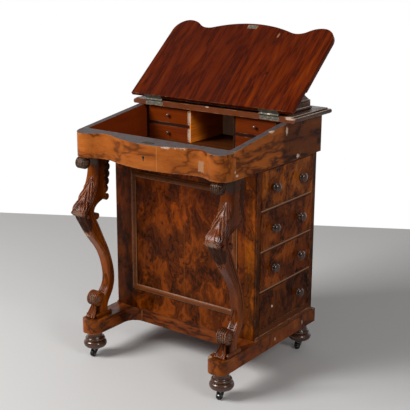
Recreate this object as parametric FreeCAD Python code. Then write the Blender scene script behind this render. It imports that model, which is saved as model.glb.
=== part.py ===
"""Davenport desk: a drawer pedestal on a sled plinth, with a sloping writing box on carved cabriole legs.

Millimetres. +Z is up, the desk faces -Y, its working drawers open to +X.
The origin is on the floor, under the middle of the desk as it stands with its lid up.
"""
import FreeCAD
import Part
import math
import os

V = FreeCAD.Vector
X_AXIS = V(1, 0, 0)
Y_AXIS = V(0, 1, 0)
Z_AXIS = V(0, 0, 1)

# Clearances shared by all pieces
CUT_OVERRUN = 4.0
JOIN_TOLERANCE = 0.02
SLIDE_GAP = 0.3
SIDE_GAP = 0.6
RUN_CLEARANCE = 0.05
STOP_GAP = 0.4

# Castors
CASTOR_HEIGHT = 30.0
CASTOR_PLATE_R = 17.0
CASTOR_PLATE = 3.0
PINTLE_R = 4.0
HORN_BOSS_R = 10.0
HORN_BOSS = 5.0
HORN_CHEEK = 2.5
HORN_CHEEK_R = 5.0
CASTOR_TRAIL = 11.0
WHEEL_R = 10.0
WHEEL_WIDTH = 12.0
WHEEL_EDGE_R = 2.5
AXLE_R = 2.5
HORN_NECK_SHARES = (-0.9, 0.7)

# Turned bun feet: radius and height shares from the top down, arcs given by a middle point
FOOT_R = 36.5
FOOT_HEIGHT = 56.0
FOOT_INSET = 29.0
FRONT_FOOT_INSET = 38.0
REAR_FOOT_INSET = 45.0
FOOT_TOP_SHARE = 0.74
FOOT_NECK_SHARES = ((0.62, 0.80), (0.70, 0.64))
FOOT_BEAD_SHARES = ((0.85, 0.56), (0.78, 0.47))
FOOT_BUN_SHARES = ((1.0, 0.28), (0.64, 0.04))
FOOT_BASE_SHARE = 0.58

# Plinth: a block under the pedestal with two forward arms
PLINTH_HEIGHT = 44.0
PLINTH_MARGIN = 8.0
PLINTH_SETBACK = 5.0
PLINTH_REAR_MARGIN = 13.0
ARM_WIDTH = 63.0
ARM_CORNER_R = 24.0
ARM_COVE_R = 42.0

# Pedestal
CASE_WIDTH = 532.0
CASE_HEIGHT = 521.0
CASE_DEPTH = 329.0
CASE_FRONT_Y = -92.0
PANEL = 22.0
CASE_SIDE = 14.0
CASE_BOARD = 12.0
CASE_SIDE_INSET = 2.0
BASE_RAIL_HEIGHT = 28.0
BASE_RAIL = 20.0
DUST_BOARD = 8.0
BASE_MOULDING_HEIGHT = 11.0
BASE_MOULDING = 6.0

# Raised moulding on the pedestal's front and back
PANEL_MOULDING_INSET = 66.0
PANEL_MOULDING_RISE = 66.0
PANEL_MOULDING_WIDTH = 18.0
PANEL_MOULDING_EDGE = 2.0
PANEL_MOULDING_CROWN = 6.0

# Pedestal drawers
DRAWER_COUNT = 4
DRAWER_FRONT = 18.0
DRAWER_BOARD = 8.0
DRAWER_BOTTOM = 6.0
DRAWER_BACK_ROOM = 60.0
DRAWER_TRAY_DROP = 10.0
DUMMY_FRONT = 2.0
COCKBEAD = 3.0
COCKBEAD_RISE = 2.0

# Turned knobs: radius and length shares from the face outwards
KNOB_R = 13.5
KNOB_LENGTH = 22.0
KNOB_SPACING = 148.0
KNOB_FOOT_SHARES = (0.78, 0.14)
KNOB_NECK_SHARES = (0.42, 0.34)
KNOB_HEAD_SHARES = (1.0, 0.70)
KNOB_TIP_SHARE = 0.93
STUB_R = 4.0
STUB_LENGTH = 1.2

# Writing box
BOX_HEIGHT = 117.0
BOX_MARGIN = 12.0
BOX_REAR_MARGIN = 4.0
BOX_EAR_DEPTH = 509.0
BOX_BOW = 6.0
BOX_FRONT = 48.0
BOX_SIDE = 20.0
BOX_BACK = 12.0
BOX_BOTTOM = 10.0
BOX_SLOPE_DEG = 8.0

# Serpentine front shared by the box and the lid: corner, ear crest, hollow and centre bow
EAR_CORNER_R = 50.0
EAR_CREST_R = 75.0
HOLLOW_R = 60.0
BOW_R = 425.0
BOX_CURVE_INSET = 16.0

# Fixed top board behind the lid
TOP_BOARD = 17.0
TOP_DEPTH = 222.0
TOP_OVERHANG = 22.0
TOP_REAR_OVERHANG = 21.0
TOP_STEP = 10.0
TOP_STEP_HEIGHT = 4.0
TOP_NOSE = 8.0

# Writing lid
LID_EAR_OVERHANG = 24.0
LID_BOW_OVERHANG = 19.5
LID_BOARD = 11.0
LID_REST_TILT_DEG = 40.15
LID_EDGE_R = 2.0
LID_RIM_WIDTH = 30.0
LID_RIM_HEIGHT = 6.0
LID_RIM_START = 92.0
LID_RIM_EDGE_R = 2.5
LEATHER = 1.5
LEATHER_MARGIN = 16.0
LEATHER_BACK_MARGIN = 58.0
STRIKER_WIDTH = 36.0
STRIKER_DEPTH = 14.0
STRIKER = 1.5
STRIKER_MARGIN = 8.0

# Butt hinges of the lid
HINGE_INSET = 85.0
HINGE_LENGTH = 66.0
HINGE_LEAF = 1.5
HINGE_LEAF_HEIGHT = 15.0
HINGE_BARREL_R = 3.5
HINGE_PIN_R = 1.75
HINGE_NOTCH = 0.5
PIN_RISE = 1.5
PIN_SETBACK = 1.0
LID_HINGE_RISE = 8.0
LID_EDGE_SETBACK = 2.5
OUTER_KNUCKLE_SHARES = ((0, 1 / 3), (2 / 3, 1))
MIDDLE_KNUCKLE_SHARES = ((1 / 3, 2 / 3),)

# Box lock and keyhole
LOCK_PLATE_WIDTH = 36.0
LOCK_PLATE_DEPTH = 12.0
LOCK_PLATE = 2.0
LOCK_BODY_WIDTH = 30.0
LOCK_BODY_DEPTH = 9.0
LOCK_BODY_HEIGHT = 34.0
LOCK_SETBACK = 15.0
KEYHOLE_R = 3.0
KEYHOLE_SLOT = 2.6
KEYHOLE_DROP = 9.0
ESCUTCHEON_WALL = 1.6
ESCUTCHEON_DEPTH = 8.0
ESCUTCHEON_DOWN = 37.0

# Fittings inside the box
NEST_SETBACK = 15.0
LEFT_FILLER = 11.0
LEFT_NEST_WIDTH = 158.0
RIGHT_NEST_WIDTH = 142.0
RIGHT_FILLER = 28.0
PARTITION = 8.0
NEST_SHELF = 10.0
NEST_LOWER_HEIGHT = 44.5
SMALL_FRONT = 9.0
SMALL_BOARD = 5.0
SMALL_BOTTOM = 4.0
SMALL_BACK_ROOM = 14.0
SMALL_TRAY_DROP = 6.0
SMALL_TOP_GAP = 5.0
SMALL_KNOB_R = 5.5
SMALL_KNOB_LENGTH = 11.0

# Pen drawer in the right-hand side of the box
PEN_DRAWER_WIDTH = 121.0
PEN_WALL = 6.0
PEN_TRAY_HEIGHT = 44.0
PEN_BACK_ROOM = 20.0
PEN_BOARD = 6.0

# Stationery compartment on the top board
STATIONERY_INSET = 44.0
STATIONERY_REAR_MARGIN = 56.0
STATIONERY_BASE = 8.0
STATIONERY_WALL_HEIGHT = 14.0
STATIONERY_WALL = 9.0
STATIONERY_LID_LIP = 3.0
STATIONERY_LID_EDGE = 6.0
STATIONERY_LID_CANT = 14.0

# Cabriole legs, sawn to a side outline and a front outline, with the carving standing on them
LEG_INSET = 18.0
LEG_WIDTH = 50.0
LEG_SWEEP = 142.0
LEG_EDGE_R = 5.0
# Setback of the leg's back from the box's ears, as a share of the ears' overhang past the case
LEG_SETBACK_SHARE = 15 / 22
# Side outline: height shares of the leg and forward shares of its sweep, from the top down
LEG_FRONT_SHARES = (
    (1.000, 0.521), (0.883, 0.500), (0.812, 0.585), (0.745, 0.732), (0.676, 0.920), (0.595, 0.815),
    (0.511, 0.632), (0.403, 0.345), (0.284, 0.195), (0.173, 0.205), (0.106, 0.400), (0.058, 0.480),
    (0.000, 0.520),
)
LEG_BACK_SHARES = (
    (1.000, 0.162), (0.883, 0.180), (0.797, 0.215), (0.760, 0.255), (0.736, 0.320), (0.706, 0.570), (0.668, 0.640),
    (0.595, 0.508), (0.511, 0.352), (0.403, 0.155), (0.284, 0.015), (0.202, -0.010), (0.140, 0.050),
    (0.067, 0.225), (0.000, 0.205),
)
# Front outline: height shares and half-width shares of the leg's width
LEG_WIDTH_SHARES = (
    (1.000, 0.50), (0.825, 0.48), (0.710, 0.50), (0.595, 0.42), (0.413, 0.34), (0.230, 0.31),
    (0.134, 0.35), (0.067, 0.37), (0.000, 0.38),
)
# Acanthus leaf on the knee, outlined the same way
LEAF_FRONT_SHARES = (
    (0.873, 0.485), (0.812, 0.615), (0.745, 0.795), (0.690, 0.975), (0.668, 0.985), (0.652, 0.920),
)
LEAF_BACK_SHARES = ((0.652, 0.780), (0.745, 0.600), (0.873, 0.380))
LEAF_WIDTH_SHARES = ((0.873, 0.03), (0.812, 0.18), (0.745, 0.34), (0.690, 0.45), (0.652, 0.36))
# Carved scrolls: height share, forward share, then radius and width shares of the leg's width
TOP_SCROLL_SHARES = (0.966, 0.770, 0.34, 0.58)
FOOT_SCROLL_SHARES = (0.115, 0.500, 0.44, 0.66)
UPPER_BACK_SCROLL_SHARES = (0.740, 0.245, 0.21, 0.96)
LOWER_BACK_SCROLL_SHARES = (0.638, 0.545, 0.21, 0.84)
LEAF_LIP_SHARES = (0.674, 0.937, 0.17, 0.56)
UNDER_KNEE_ROLL_SHARES = (0.524, 0.620, 0.10, 0.60)
SCROLL_EYE_SHARE = 0.45
SCROLL_EYE_RISE = 1.5
SCROLL_BAND = 9.0
# Block under the foot: sweep shares of its front and back, width share, height and bevel
FOOT_BLOCK_SHARES = (0.640, 0.160, 0.90)
FOOT_BLOCK_HEIGHT = 13.0
FOOT_BLOCK_BEVEL = 3.0
# Scalloped back edge below the box
BEAD_COUNT = 5
BEAD_SHARES = (0.25, 0.94)
BEAD_HEIGHT_SHARES = (0.960, 0.790)
BEAD_SWEEP_SHARES = (0.200, 0.272)

# Levels that follow from the sizes above
FOOT_TOP_Z = CASTOR_HEIGHT + FOOT_HEIGHT
PLINTH_TOP_Z = FOOT_TOP_Z + PLINTH_HEIGHT
BOX_Z = PLINTH_TOP_Z + CASE_HEIGHT
TOP_Z = BOX_Z + BOX_HEIGHT
TOP_FACE_Z = TOP_Z + TOP_BOARD
WELL_Z = BOX_Z + BOX_BOTTOM
NEST_SHELF_Z = WELL_Z + NEST_LOWER_HEIGHT
DRAWER_BASE_Z = PLINTH_TOP_Z + BASE_RAIL_HEIGHT
DRAWER_PITCH = (BOX_Z - DRAWER_BASE_Z) / DRAWER_COUNT
DRAWER_HEIGHT = DRAWER_PITCH - DUST_BOARD
PIN_Z = TOP_FACE_Z + PIN_RISE

# Half widths and places across the desk
CASE_X = CASE_WIDTH / 2
PLINTH_X = CASE_X + PLINTH_MARGIN
FOOT_X = PLINTH_X - FOOT_INSET
LEG_X = CASE_X - LEG_INSET
BOX_X = CASE_X + BOX_MARGIN
WELL_X = BOX_X - BOX_SIDE
TOP_X = BOX_X + TOP_OVERHANG
HINGE_X = TOP_X - HINGE_INSET
STATIONERY_X = TOP_X - STATIONERY_INSET
LEFT_BOARD_X = -CASE_X + CASE_SIDE_INSET + CASE_SIDE
LEFT_NEST_X = -WELL_X + LEFT_FILLER
LEFT_PARTITION_X = LEFT_NEST_X + LEFT_NEST_WIDTH
RIGHT_NEST_X = WELL_X - RIGHT_FILLER
RIGHT_PARTITION_X = RIGHT_NEST_X - RIGHT_NEST_WIDTH

# Places from front to back
CASE_REAR_Y = CASE_FRONT_Y + CASE_DEPTH
DRAWER_FRONT_Y = CASE_FRONT_Y + PANEL
DRAWER_REAR_Y = CASE_REAR_Y - PANEL
PLINTH_FRONT_Y = CASE_FRONT_Y + PLINTH_SETBACK
PLINTH_REAR_Y = CASE_REAR_Y + PLINTH_REAR_MARGIN
REAR_FOOT_Y = PLINTH_REAR_Y - REAR_FOOT_INSET
BOX_REAR_Y = CASE_REAR_Y + BOX_REAR_MARGIN
BOX_EAR_Y = BOX_REAR_Y - BOX_EAR_DEPTH
EAR_OVERHANG = CASE_FRONT_Y - BOX_EAR_Y
LEG_SETBACK = LEG_SETBACK_SHARE * EAR_OVERHANG
LEG_BACK_Y = BOX_EAR_Y + LEG_SETBACK
ARM_FRONT_Y = BOX_EAR_Y
FRONT_FOOT_Y = ARM_FRONT_Y + FRONT_FOOT_INSET
BOX_BOW_Y = BOX_EAR_Y - BOX_BOW
BOX_WELL_FRONT_Y = BOX_EAR_Y + BOX_FRONT
WELL_REAR_Y = BOX_REAR_Y - BOX_BACK
TOP_REAR_Y = BOX_REAR_Y + TOP_REAR_OVERHANG
TOP_FRONT_Y = TOP_REAR_Y - TOP_DEPTH
PIN_Y = TOP_FRONT_Y - PIN_SETBACK
LID_EAR_REACH = TOP_FRONT_Y - BOX_EAR_Y + LID_EAR_OVERHANG
LID_BOW_REACH = TOP_FRONT_Y - BOX_BOW_Y + LID_BOW_OVERHANG
STATIONERY_REAR_Y = TOP_REAR_Y - STATIONERY_REAR_MARGIN
NEST_FRONT_Y = TOP_FRONT_Y + NEST_SETBACK
PEN_SEAM_Y = BOX_REAR_Y - PEN_DRAWER_WIDTH


# Solids made from outlines

def block(x0, x1, y0, y1, z0, z1):
    """Square-edged board between two corners."""
    return Part.makeBox(x1 - x0, y1 - y0, z1 - z0, V(x0, y0, z0))


def outline(place, start, *steps):
    """Closed face from a start point and steps: (end,) draws a line, (middle, end) an arc."""
    edges = []
    here = place(*start)
    for step in steps + ((start,),):
        there = place(*step[-1])
        if here.distanceToPoint(there) > JOIN_TOLERANCE:
            if len(step) == 2:
                edges.append(Part.Arc(here, place(*step[0]), there).toShape())
            else:
                edges.append(Part.makeLine(here, there))
        here = there
    return Part.Face(Part.Wire(edges))


def along_x(x0, x1, start, *steps):
    """Solid with an outline of (y, z) points, from x0 to x1."""
    return outline(lambda y, z: V(x0, y, z), start, *steps).extrude(V(x1 - x0, 0, 0))


def along_y(y0, y1, start, *steps):
    """Solid with an outline of (x, z) points, from y0 to y1."""
    return outline(lambda x, z: V(x, y0, z), start, *steps).extrude(V(0, y1 - y0, 0))


def along_z(z0, z1, start, *steps):
    """Solid with an outline of (x, y) points, from z0 to z1."""
    return outline(lambda x, y: V(x, y, z0), start, *steps).extrude(V(0, 0, z1 - z0))


def turned(base, axis, start, *steps):
    """Solid turned about a line from base, with an outline of (radius, length) points."""
    across = Y_AXIS if axis.getAngle(X_AXIS) < math.radians(1) else X_AXIS
    face = outline(lambda r, h: base + across * r + axis * h, start, *steps)
    return face.revolve(base, axis, 360)


def rod_x(x0, x1, y, z, radius):
    """Round bar along X."""
    return Part.makeCylinder(radius, x1 - x0, V(x0, y, z), X_AXIS)


def mirrored(shape):
    """The same piece on the other side of the desk."""
    return shape.mirror(V(0, 0, 0), X_AXIS)


def save(node, *solids):
    """Write one node, as one solid or a group of separate solids."""
    shape = solids[0] if len(solids) == 1 else Part.makeCompound(list(solids))
    shape.exportStep(os.path.join("parts", node + ".step"))
    faulty = not shape.isValid()
    print(node, len(shape.Solids), round(shape.Volume), "FAULTY" if faulty else "")


# Serpentine outline, in plan or on the lid

def quarter_point(radius):
    """Distance of an arc's middle from its two tangent lines, along each."""
    return radius * (1 - math.sqrt(0.5))


def meeting(center_a, radius_a, center_b, radius_b):
    """Point at set distances from two centres, on the outer side of the line between them."""
    dx, dy = center_b[0] - center_a[0], center_b[1] - center_a[1]
    apart = math.hypot(dx, dy)
    along = (radius_a ** 2 - radius_b ** 2 + apart ** 2) / (2 * apart)
    aside = math.sqrt(radius_a ** 2 - along ** 2)
    return (center_a[0] + (along * dx + aside * dy) / apart,
            center_a[1] + (along * dy - aside * dx) / apart)


def towards(center, target, radius):
    """Point on a circle, on the way from its centre to a target."""
    apart = math.dist(center, target)
    return tuple(c + (t - c) * radius / apart for c, t in zip(center, target))


def serpentine(half_width, ear_reach, bow_reach, inset):
    """Steps along a front edge from its right side to its left, bulging towards +reach.

    inset moves the edge inwards with its curves kept parallel.
    """
    def flip(point):
        return (-point[0], point[1])
    corner = EAR_CORNER_R - inset
    crest = EAR_CREST_R - inset
    hollow = HOLLOW_R + inset
    bow = BOW_R - inset
    ear_x = half_width - corner
    crest_center = (ear_x, ear_reach - crest)
    bow_center = (0, bow_reach - bow)
    hollow_center = meeting(crest_center, crest + hollow, bow_center, bow + hollow)
    ear_join = towards(crest_center, hollow_center, crest)
    bow_join = towards(bow_center, hollow_center, bow)
    ear_top = (ear_x, ear_reach)
    half = tuple((a + b) / 2 for a, b in zip(ear_top, ear_join))
    ear_middle = towards(crest_center, half, crest)
    half = tuple((a + b) / 2 for a, b in zip(ear_join, bow_join))
    hollow_middle = towards(hollow_center, half, hollow)
    corner_middle = (half_width - quarter_point(corner), ear_reach - quarter_point(corner))
    right = [
        (corner_middle, ear_top),
        (ear_middle, ear_join),
        (hollow_middle, bow_join),
    ]
    left = [
        (flip(hollow_middle), flip(ear_join)),
        (flip(ear_middle), flip(ear_top)),
        (flip(corner_middle), (-half_width, ear_reach - corner)),
    ]
    return [((half_width, ear_reach - corner),)] + right + [((0, bow_reach), flip(bow_join))] + left


def lid_plate(half_width, back, inset, w0, w1):
    """Part of the lid between two depths from the pin, seen along the lid from the pin."""
    ear = LID_EDGE_SETBACK + LID_EAR_REACH - inset
    bow = LID_EDGE_SETBACK + LID_BOW_REACH - inset
    steps = serpentine(half_width, ear, bow, inset)
    return along_z(w0, w1, (half_width, back), *steps, ((-half_width, back),))


def laid_open(shape):
    """Turn a piece of the lid from flat about the pin to where the open lid rests."""
    turned_piece = shape.copy()
    turned_piece.rotate(V(0, 0, 0), X_AXIS, LID_REST_TILT_DEG)
    turned_piece.translate(V(0, PIN_Y, PIN_Z))
    return turned_piece


def slope_z(y):
    """Height of the box's sloping edge, just under the closed lid's inner face."""
    slope = math.radians(BOX_SLOPE_DEG)
    drop = (LID_HINGE_RISE + LID_BOARD + STOP_GAP) / math.cos(slope)
    return PIN_Z - drop - (PIN_Y - y) * math.tan(slope)


# Feet and castors

def foot_places():
    """Names and floor places of the four feet."""
    return [
        ("front_left", -FOOT_X, FRONT_FOOT_Y),
        ("front_right", FOOT_X, FRONT_FOOT_Y),
        ("rear_left", -FOOT_X, REAR_FOOT_Y),
        ("rear_right", FOOT_X, REAR_FOOT_Y),
    ]


def bun_foot(x, y):
    """Turned foot: a hollow neck and a bead over a wide bun and a narrow base."""
    def at(shares):
        return (FOOT_R * shares[0], FOOT_HEIGHT * shares[1])
    return turned(
        V(x, y, CASTOR_HEIGHT), Z_AXIS,
        (0, 0),
        ((FOOT_R * FOOT_BASE_SHARE, 0),),
        (at(FOOT_BUN_SHARES[1]),),
        (at(FOOT_BUN_SHARES[0]), at(FOOT_BEAD_SHARES[1])),
        (at(FOOT_BEAD_SHARES[0]), at(FOOT_NECK_SHARES[1])),
        (at(FOOT_NECK_SHARES[0]), (FOOT_R * FOOT_TOP_SHARE, FOOT_HEIGHT)),
        ((0, FOOT_HEIGHT),),
    )


def castor_socket(x, y):
    """Plate under a foot, with the pintle that its castor turns on."""
    plate_z = CASTOR_HEIGHT - CASTOR_PLATE
    pintle_z = plate_z - SLIDE_GAP - HORN_BOSS
    plate = Part.makeCylinder(CASTOR_PLATE_R, CASTOR_PLATE, V(x, y, plate_z))
    pintle = Part.makeCylinder(PINTLE_R, plate_z - pintle_z, V(x, y, pintle_z))
    return plate.fuse(pintle).removeSplitter()


def castor_horn(x, y):
    """Swivelling fork: a boss on the pintle, two cheeks and the riveted axle."""
    boss_top = CASTOR_HEIGHT - CASTOR_PLATE - SLIDE_GAP
    boss_z = boss_top - HORN_BOSS
    boss = Part.makeCylinder(HORN_BOSS_R, HORN_BOSS, V(x, y, boss_z))
    axle_y = y - CASTOR_TRAIL
    neck_front, neck_rear = (y + HORN_BOSS_R * share for share in HORN_NECK_SHARES)
    inner = WHEEL_WIDTH / 2 + SLIDE_GAP
    cheek_steps = (
        (neck_front, boss_top),
        ((neck_rear, boss_top),),
        ((axle_y + HORN_CHEEK_R, WHEEL_R),),
        ((axle_y, WHEEL_R - HORN_CHEEK_R), (axle_y - HORN_CHEEK_R, WHEEL_R)),
    )
    cheeks = [along_x(x + side, x + side + HORN_CHEEK, *cheek_steps)
              for side in (inner, -inner - HORN_CHEEK)]
    reach = inner + HORN_CHEEK
    axle = rod_x(x - reach, x + reach, axle_y, WHEEL_R, AXLE_R)
    bore = Part.makeCylinder(PINTLE_R + RUN_CLEARANCE, CASTOR_HEIGHT, V(x, y, 0))
    return boss.fuse(cheeks).cut(bore).fuse(axle).removeSplitter()


def castor_wheel(x, y):
    """Wheel with rounded edges, running on the axle."""
    half = WHEEL_WIDTH / 2
    bore = AXLE_R + RUN_CLEARANCE
    bend = quarter_point(WHEEL_EDGE_R)
    rim = WHEEL_R - WHEEL_EDGE_R
    return turned(
        V(x, y - CASTOR_TRAIL, WHEEL_R), X_AXIS,
        (bore, -half),
        ((rim, -half),),
        ((WHEEL_R - bend, bend - half), (WHEEL_R, WHEEL_EDGE_R - half)),
        ((WHEEL_R, half - WHEEL_EDGE_R),),
        ((WHEEL_R - bend, half - bend), (rim, half)),
        ((bore, half),),
    )


# Plinth

def plinth_base():
    """Block that the pedestal stands on."""
    return block(-PLINTH_X, PLINTH_X, PLINTH_FRONT_Y, PLINTH_REAR_Y, FOOT_TOP_Z, PLINTH_TOP_Z)


def plinth_arm():
    """Right-hand forward arm, with a rounded end and a hollow curve into the block."""
    outer = PLINTH_X
    inner = outer - ARM_WIDTH
    bend = quarter_point(ARM_CORNER_R)
    front = ARM_FRONT_Y
    cove = quarter_point(ARM_COVE_R)
    return along_z(
        FOOT_TOP_Z, PLINTH_TOP_Z,
        (outer, PLINTH_FRONT_Y),
        ((outer, front + ARM_CORNER_R),),
        ((outer - bend, front + bend), (outer - ARM_CORNER_R, front)),
        ((inner + ARM_CORNER_R, front),),
        ((inner + bend, front + bend), (inner, front + ARM_CORNER_R)),
        ((inner, PLINTH_FRONT_Y - ARM_COVE_R),),
        ((inner - cove, PLINTH_FRONT_Y - cove), (inner - ARM_COVE_R, PLINTH_FRONT_Y)),
    )


# Pedestal

def front_panel():
    """Veneered front of the pedestal, whose edge is the drawers' front stile."""
    rear = CASE_FRONT_Y + PANEL
    return block(-CASE_X, CASE_X, CASE_FRONT_Y, rear, PLINTH_TOP_Z, BOX_Z)


def back_panel():
    """Veneered back of the pedestal, whose edge is the drawers' rear stile."""
    return block(-CASE_X, CASE_X, DRAWER_REAR_Y, CASE_REAR_Y, PLINTH_TOP_Z, BOX_Z)


def panel_moulding(face_y, outward):
    """Rectangle of half-round moulding standing on a panel's face."""
    x = CASE_X - PANEL_MOULDING_INSET
    low = PLINTH_TOP_Z + PANEL_MOULDING_RISE
    high = BOX_Z - PANEL_MOULDING_RISE
    edge_y = face_y + outward * PANEL_MOULDING_EDGE
    crown_y = face_y + outward * PANEL_MOULDING_CROWN
    section = outline(
        lambda u, y: V(0, y, low + u),
        (0, face_y),
        ((0, edge_y),),
        ((PANEL_MOULDING_WIDTH / 2, crown_y), (PANEL_MOULDING_WIDTH, edge_y)),
        ((PANEL_MOULDING_WIDTH, face_y),),
    )
    corners = [(0, low), (x, low), (x, high), (-x, high), (-x, low), (0, low)]
    route = Part.makePolygon([V(u, face_y, z) for u, z in corners])
    return route.makePipeShell([section.OuterWire], True, False, 1)


def left_side():
    """Board behind the false drawers on the left."""
    outer = -CASE_X + CASE_SIDE_INSET
    return block(outer, LEFT_BOARD_X, DRAWER_FRONT_Y, DRAWER_REAR_Y, PLINTH_TOP_Z, BOX_Z)


def dust_boards():
    """Boards that the drawers slide on, with their edges as rails, and the top of the case."""
    boards = []
    for index in range(1, DRAWER_COUNT + 1):
        top = DRAWER_BASE_Z + index * DRAWER_PITCH
        boards.append(block(LEFT_BOARD_X, CASE_X, DRAWER_FRONT_Y, DRAWER_REAR_Y, top - DUST_BOARD, top))
    return boards


def case_base():
    """Bottom board of the case and the rail under the lowest drawer."""
    rail_x = CASE_X - BASE_RAIL
    board_z = DRAWER_BASE_Z - CASE_BOARD
    board = block(LEFT_BOARD_X, rail_x, DRAWER_FRONT_Y, DRAWER_REAR_Y, board_z, DRAWER_BASE_Z)
    rail = block(rail_x, CASE_X, DRAWER_FRONT_Y, DRAWER_REAR_Y, PLINTH_TOP_Z, DRAWER_BASE_Z)
    return [board, rail]


def base_moulding():
    """Hollow moulding along the foot of the pedestal's right side."""
    top = PLINTH_TOP_Z + BASE_MOULDING_HEIGHT
    lip_x = CASE_X + BASE_MOULDING
    lip_z = top - BASE_MOULDING
    bend = math.sqrt(0.5)
    hollow = (lip_x - BASE_MOULDING * bend, top - BASE_MOULDING * bend)
    return along_y(
        CASE_FRONT_Y, CASE_REAR_Y,
        (CASE_X, PLINTH_TOP_Z),
        ((lip_x, PLINTH_TOP_Z),),
        ((lip_x, lip_z),),
        (hollow, (CASE_X, top)),
    )


def beaded_front(x0, x1, y0, y1, z0, z1):
    """Drawer front between two faces, with a cockbead round its outer edge."""
    front = block(x0, x1, y0, y1, z0, z1)
    bead_x = x1 + COCKBEAD_RISE
    bead = block(x1, bead_x, y0, y1, z0, z1)
    bead = bead.cut(block(x1, bead_x, y0 + COCKBEAD, y1 - COCKBEAD, z0 + COCKBEAD, z1 - COCKBEAD))
    round_edges = [edge for edge in bead.Edges if edge.BoundBox.XMin > bead_x - JOIN_TOLERANCE]
    bead = bead.makeFillet(COCKBEAD / 3, round_edges)
    return front.fuse(bead).removeSplitter()


def drawer_level(index):
    """Height of a drawer's foot, counted from the top drawer."""
    return DRAWER_BASE_Z + (DRAWER_COUNT - index) * DRAWER_PITCH


def drawer_front(index):
    """Front of one pedestal drawer."""
    z0 = drawer_level(index) + SLIDE_GAP
    z1 = drawer_level(index) + DRAWER_HEIGHT - SIDE_GAP
    y0 = DRAWER_FRONT_Y + SIDE_GAP
    y1 = DRAWER_REAR_Y - SIDE_GAP
    return beaded_front(CASE_X - DRAWER_FRONT, CASE_X, y0, y1, z0, z1)


def tray(x0, x1, y0, y1, z0, z1, board, bottom):
    """Two sides, a back at x0 and a bottom, as separate boards behind a front at x1."""
    return [
        block(x0, x1, y0, y0 + board, z0, z1),
        block(x0, x1, y1 - board, y1, z0, z1),
        block(x0, x0 + board, y0 + board, y1 - board, z0, z1),
        block(x0 + board, x1, y0 + board, y1 - board, z0, z0 + bottom),
    ]


def drawer_tray(index):
    """Boards of one pedestal drawer behind its front."""
    z0 = drawer_level(index) + SLIDE_GAP
    z1 = drawer_level(index) + DRAWER_HEIGHT - DRAWER_TRAY_DROP
    x1 = CASE_X - DRAWER_FRONT
    y0 = DRAWER_FRONT_Y + SIDE_GAP
    y1 = DRAWER_REAR_Y - SIDE_GAP
    return tray(LEFT_BOARD_X + DRAWER_BACK_ROOM, x1, y0, y1, z0, z1, DRAWER_BOARD, DRAWER_BOTTOM)


def knob(place, axis, radius, length):
    """Turned wooden knob standing on a face."""
    def at(shares):
        return (radius * shares[0], length * shares[1])
    foot, neck, head = at(KNOB_FOOT_SHARES), at(KNOB_NECK_SHARES), at(KNOB_HEAD_SHARES)
    shoulder = ((neck[0] + head[0]) / 2, (neck[1] + head[1]) / 2)
    crown = (head[0] * math.sqrt(0.5), head[1] + (length * KNOB_TIP_SHARE - head[1]) * math.sqrt(0.5))
    return turned(
        place, axis,
        (0, 0),
        ((foot[0], 0),),
        (foot,),
        (neck,),
        (shoulder,),
        (head,),
        (crown, (head[0] / 4, length * KNOB_TIP_SHARE)),
        ((0, length),),
    )


def knob_places(index):
    """Heights and places along the side of a drawer's two knobs."""
    middle = (DRAWER_FRONT_Y + DRAWER_REAR_Y) / 2
    z = drawer_level(index) + DRAWER_HEIGHT / 2
    return [(middle - KNOB_SPACING / 2, z), (middle + KNOB_SPACING / 2, z)]


def drawer_knobs(index):
    """Knobs of a pedestal drawer: the lowest has lost its front knob down to the peg."""
    pegs = []
    for y, z in knob_places(index):
        lost = index == DRAWER_COUNT and (y, z) == knob_places(index)[0]
        if lost:
            pegs.append(Part.makeCylinder(STUB_R, STUB_LENGTH, V(CASE_X, y, z), X_AXIS))
        else:
            pegs.append(knob(V(CASE_X, y, z), X_AXIS, KNOB_R, KNOB_LENGTH))
    return pegs


def dummy_front(index):
    """False drawer front on the left side, matching the working drawer opposite."""
    z0 = drawer_level(index) + SLIDE_GAP
    z1 = drawer_level(index) + DRAWER_HEIGHT - SIDE_GAP
    y0 = DRAWER_FRONT_Y + SIDE_GAP
    y1 = DRAWER_REAR_Y - SIDE_GAP
    board_x = CASE_X - CASE_SIDE_INSET
    return mirrored(beaded_front(board_x, board_x + DUMMY_FRONT, y0, y1, z0, z1))


def dummy_knobs(index):
    """Knobs of a false drawer."""
    face_x = CASE_X - CASE_SIDE_INSET + DUMMY_FRONT
    return [mirrored(knob(V(face_x, y, z), X_AXIS, KNOB_R, KNOB_LENGTH)) for y, z in knob_places(index)]


# Cabriole legs

def leg_point(height_share, sweep_share):
    """Place on the leg's middle plane: y and z."""
    return (LEG_BACK_Y - sweep_share * LEG_SWEEP, PLINTH_TOP_Z + height_share * CASE_HEIGHT)


def leg_points(shares):
    """Points of a side outline on the leg's middle plane."""
    return [V(0, *leg_point(*pair)) for pair in shares]


def leg_curve(points):
    """Smooth edge through points."""
    curve = Part.BSplineCurve()
    curve.interpolate(points)
    return curve.toShape()


def closed_face(edges):
    """Face inside edges given in order, with straight lines across the gaps between them."""
    ring = []
    for edge, following in zip(edges, edges[1:] + edges[:1]):
        ring.append(edge)
        end, start = edge.Vertexes[-1].Point, following.Vertexes[0].Point
        if end.distanceToPoint(start) > JOIN_TOLERANCE:
            ring.append(Part.makeLine(end, start))
    return Part.Face(Part.Wire(ring))


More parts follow.
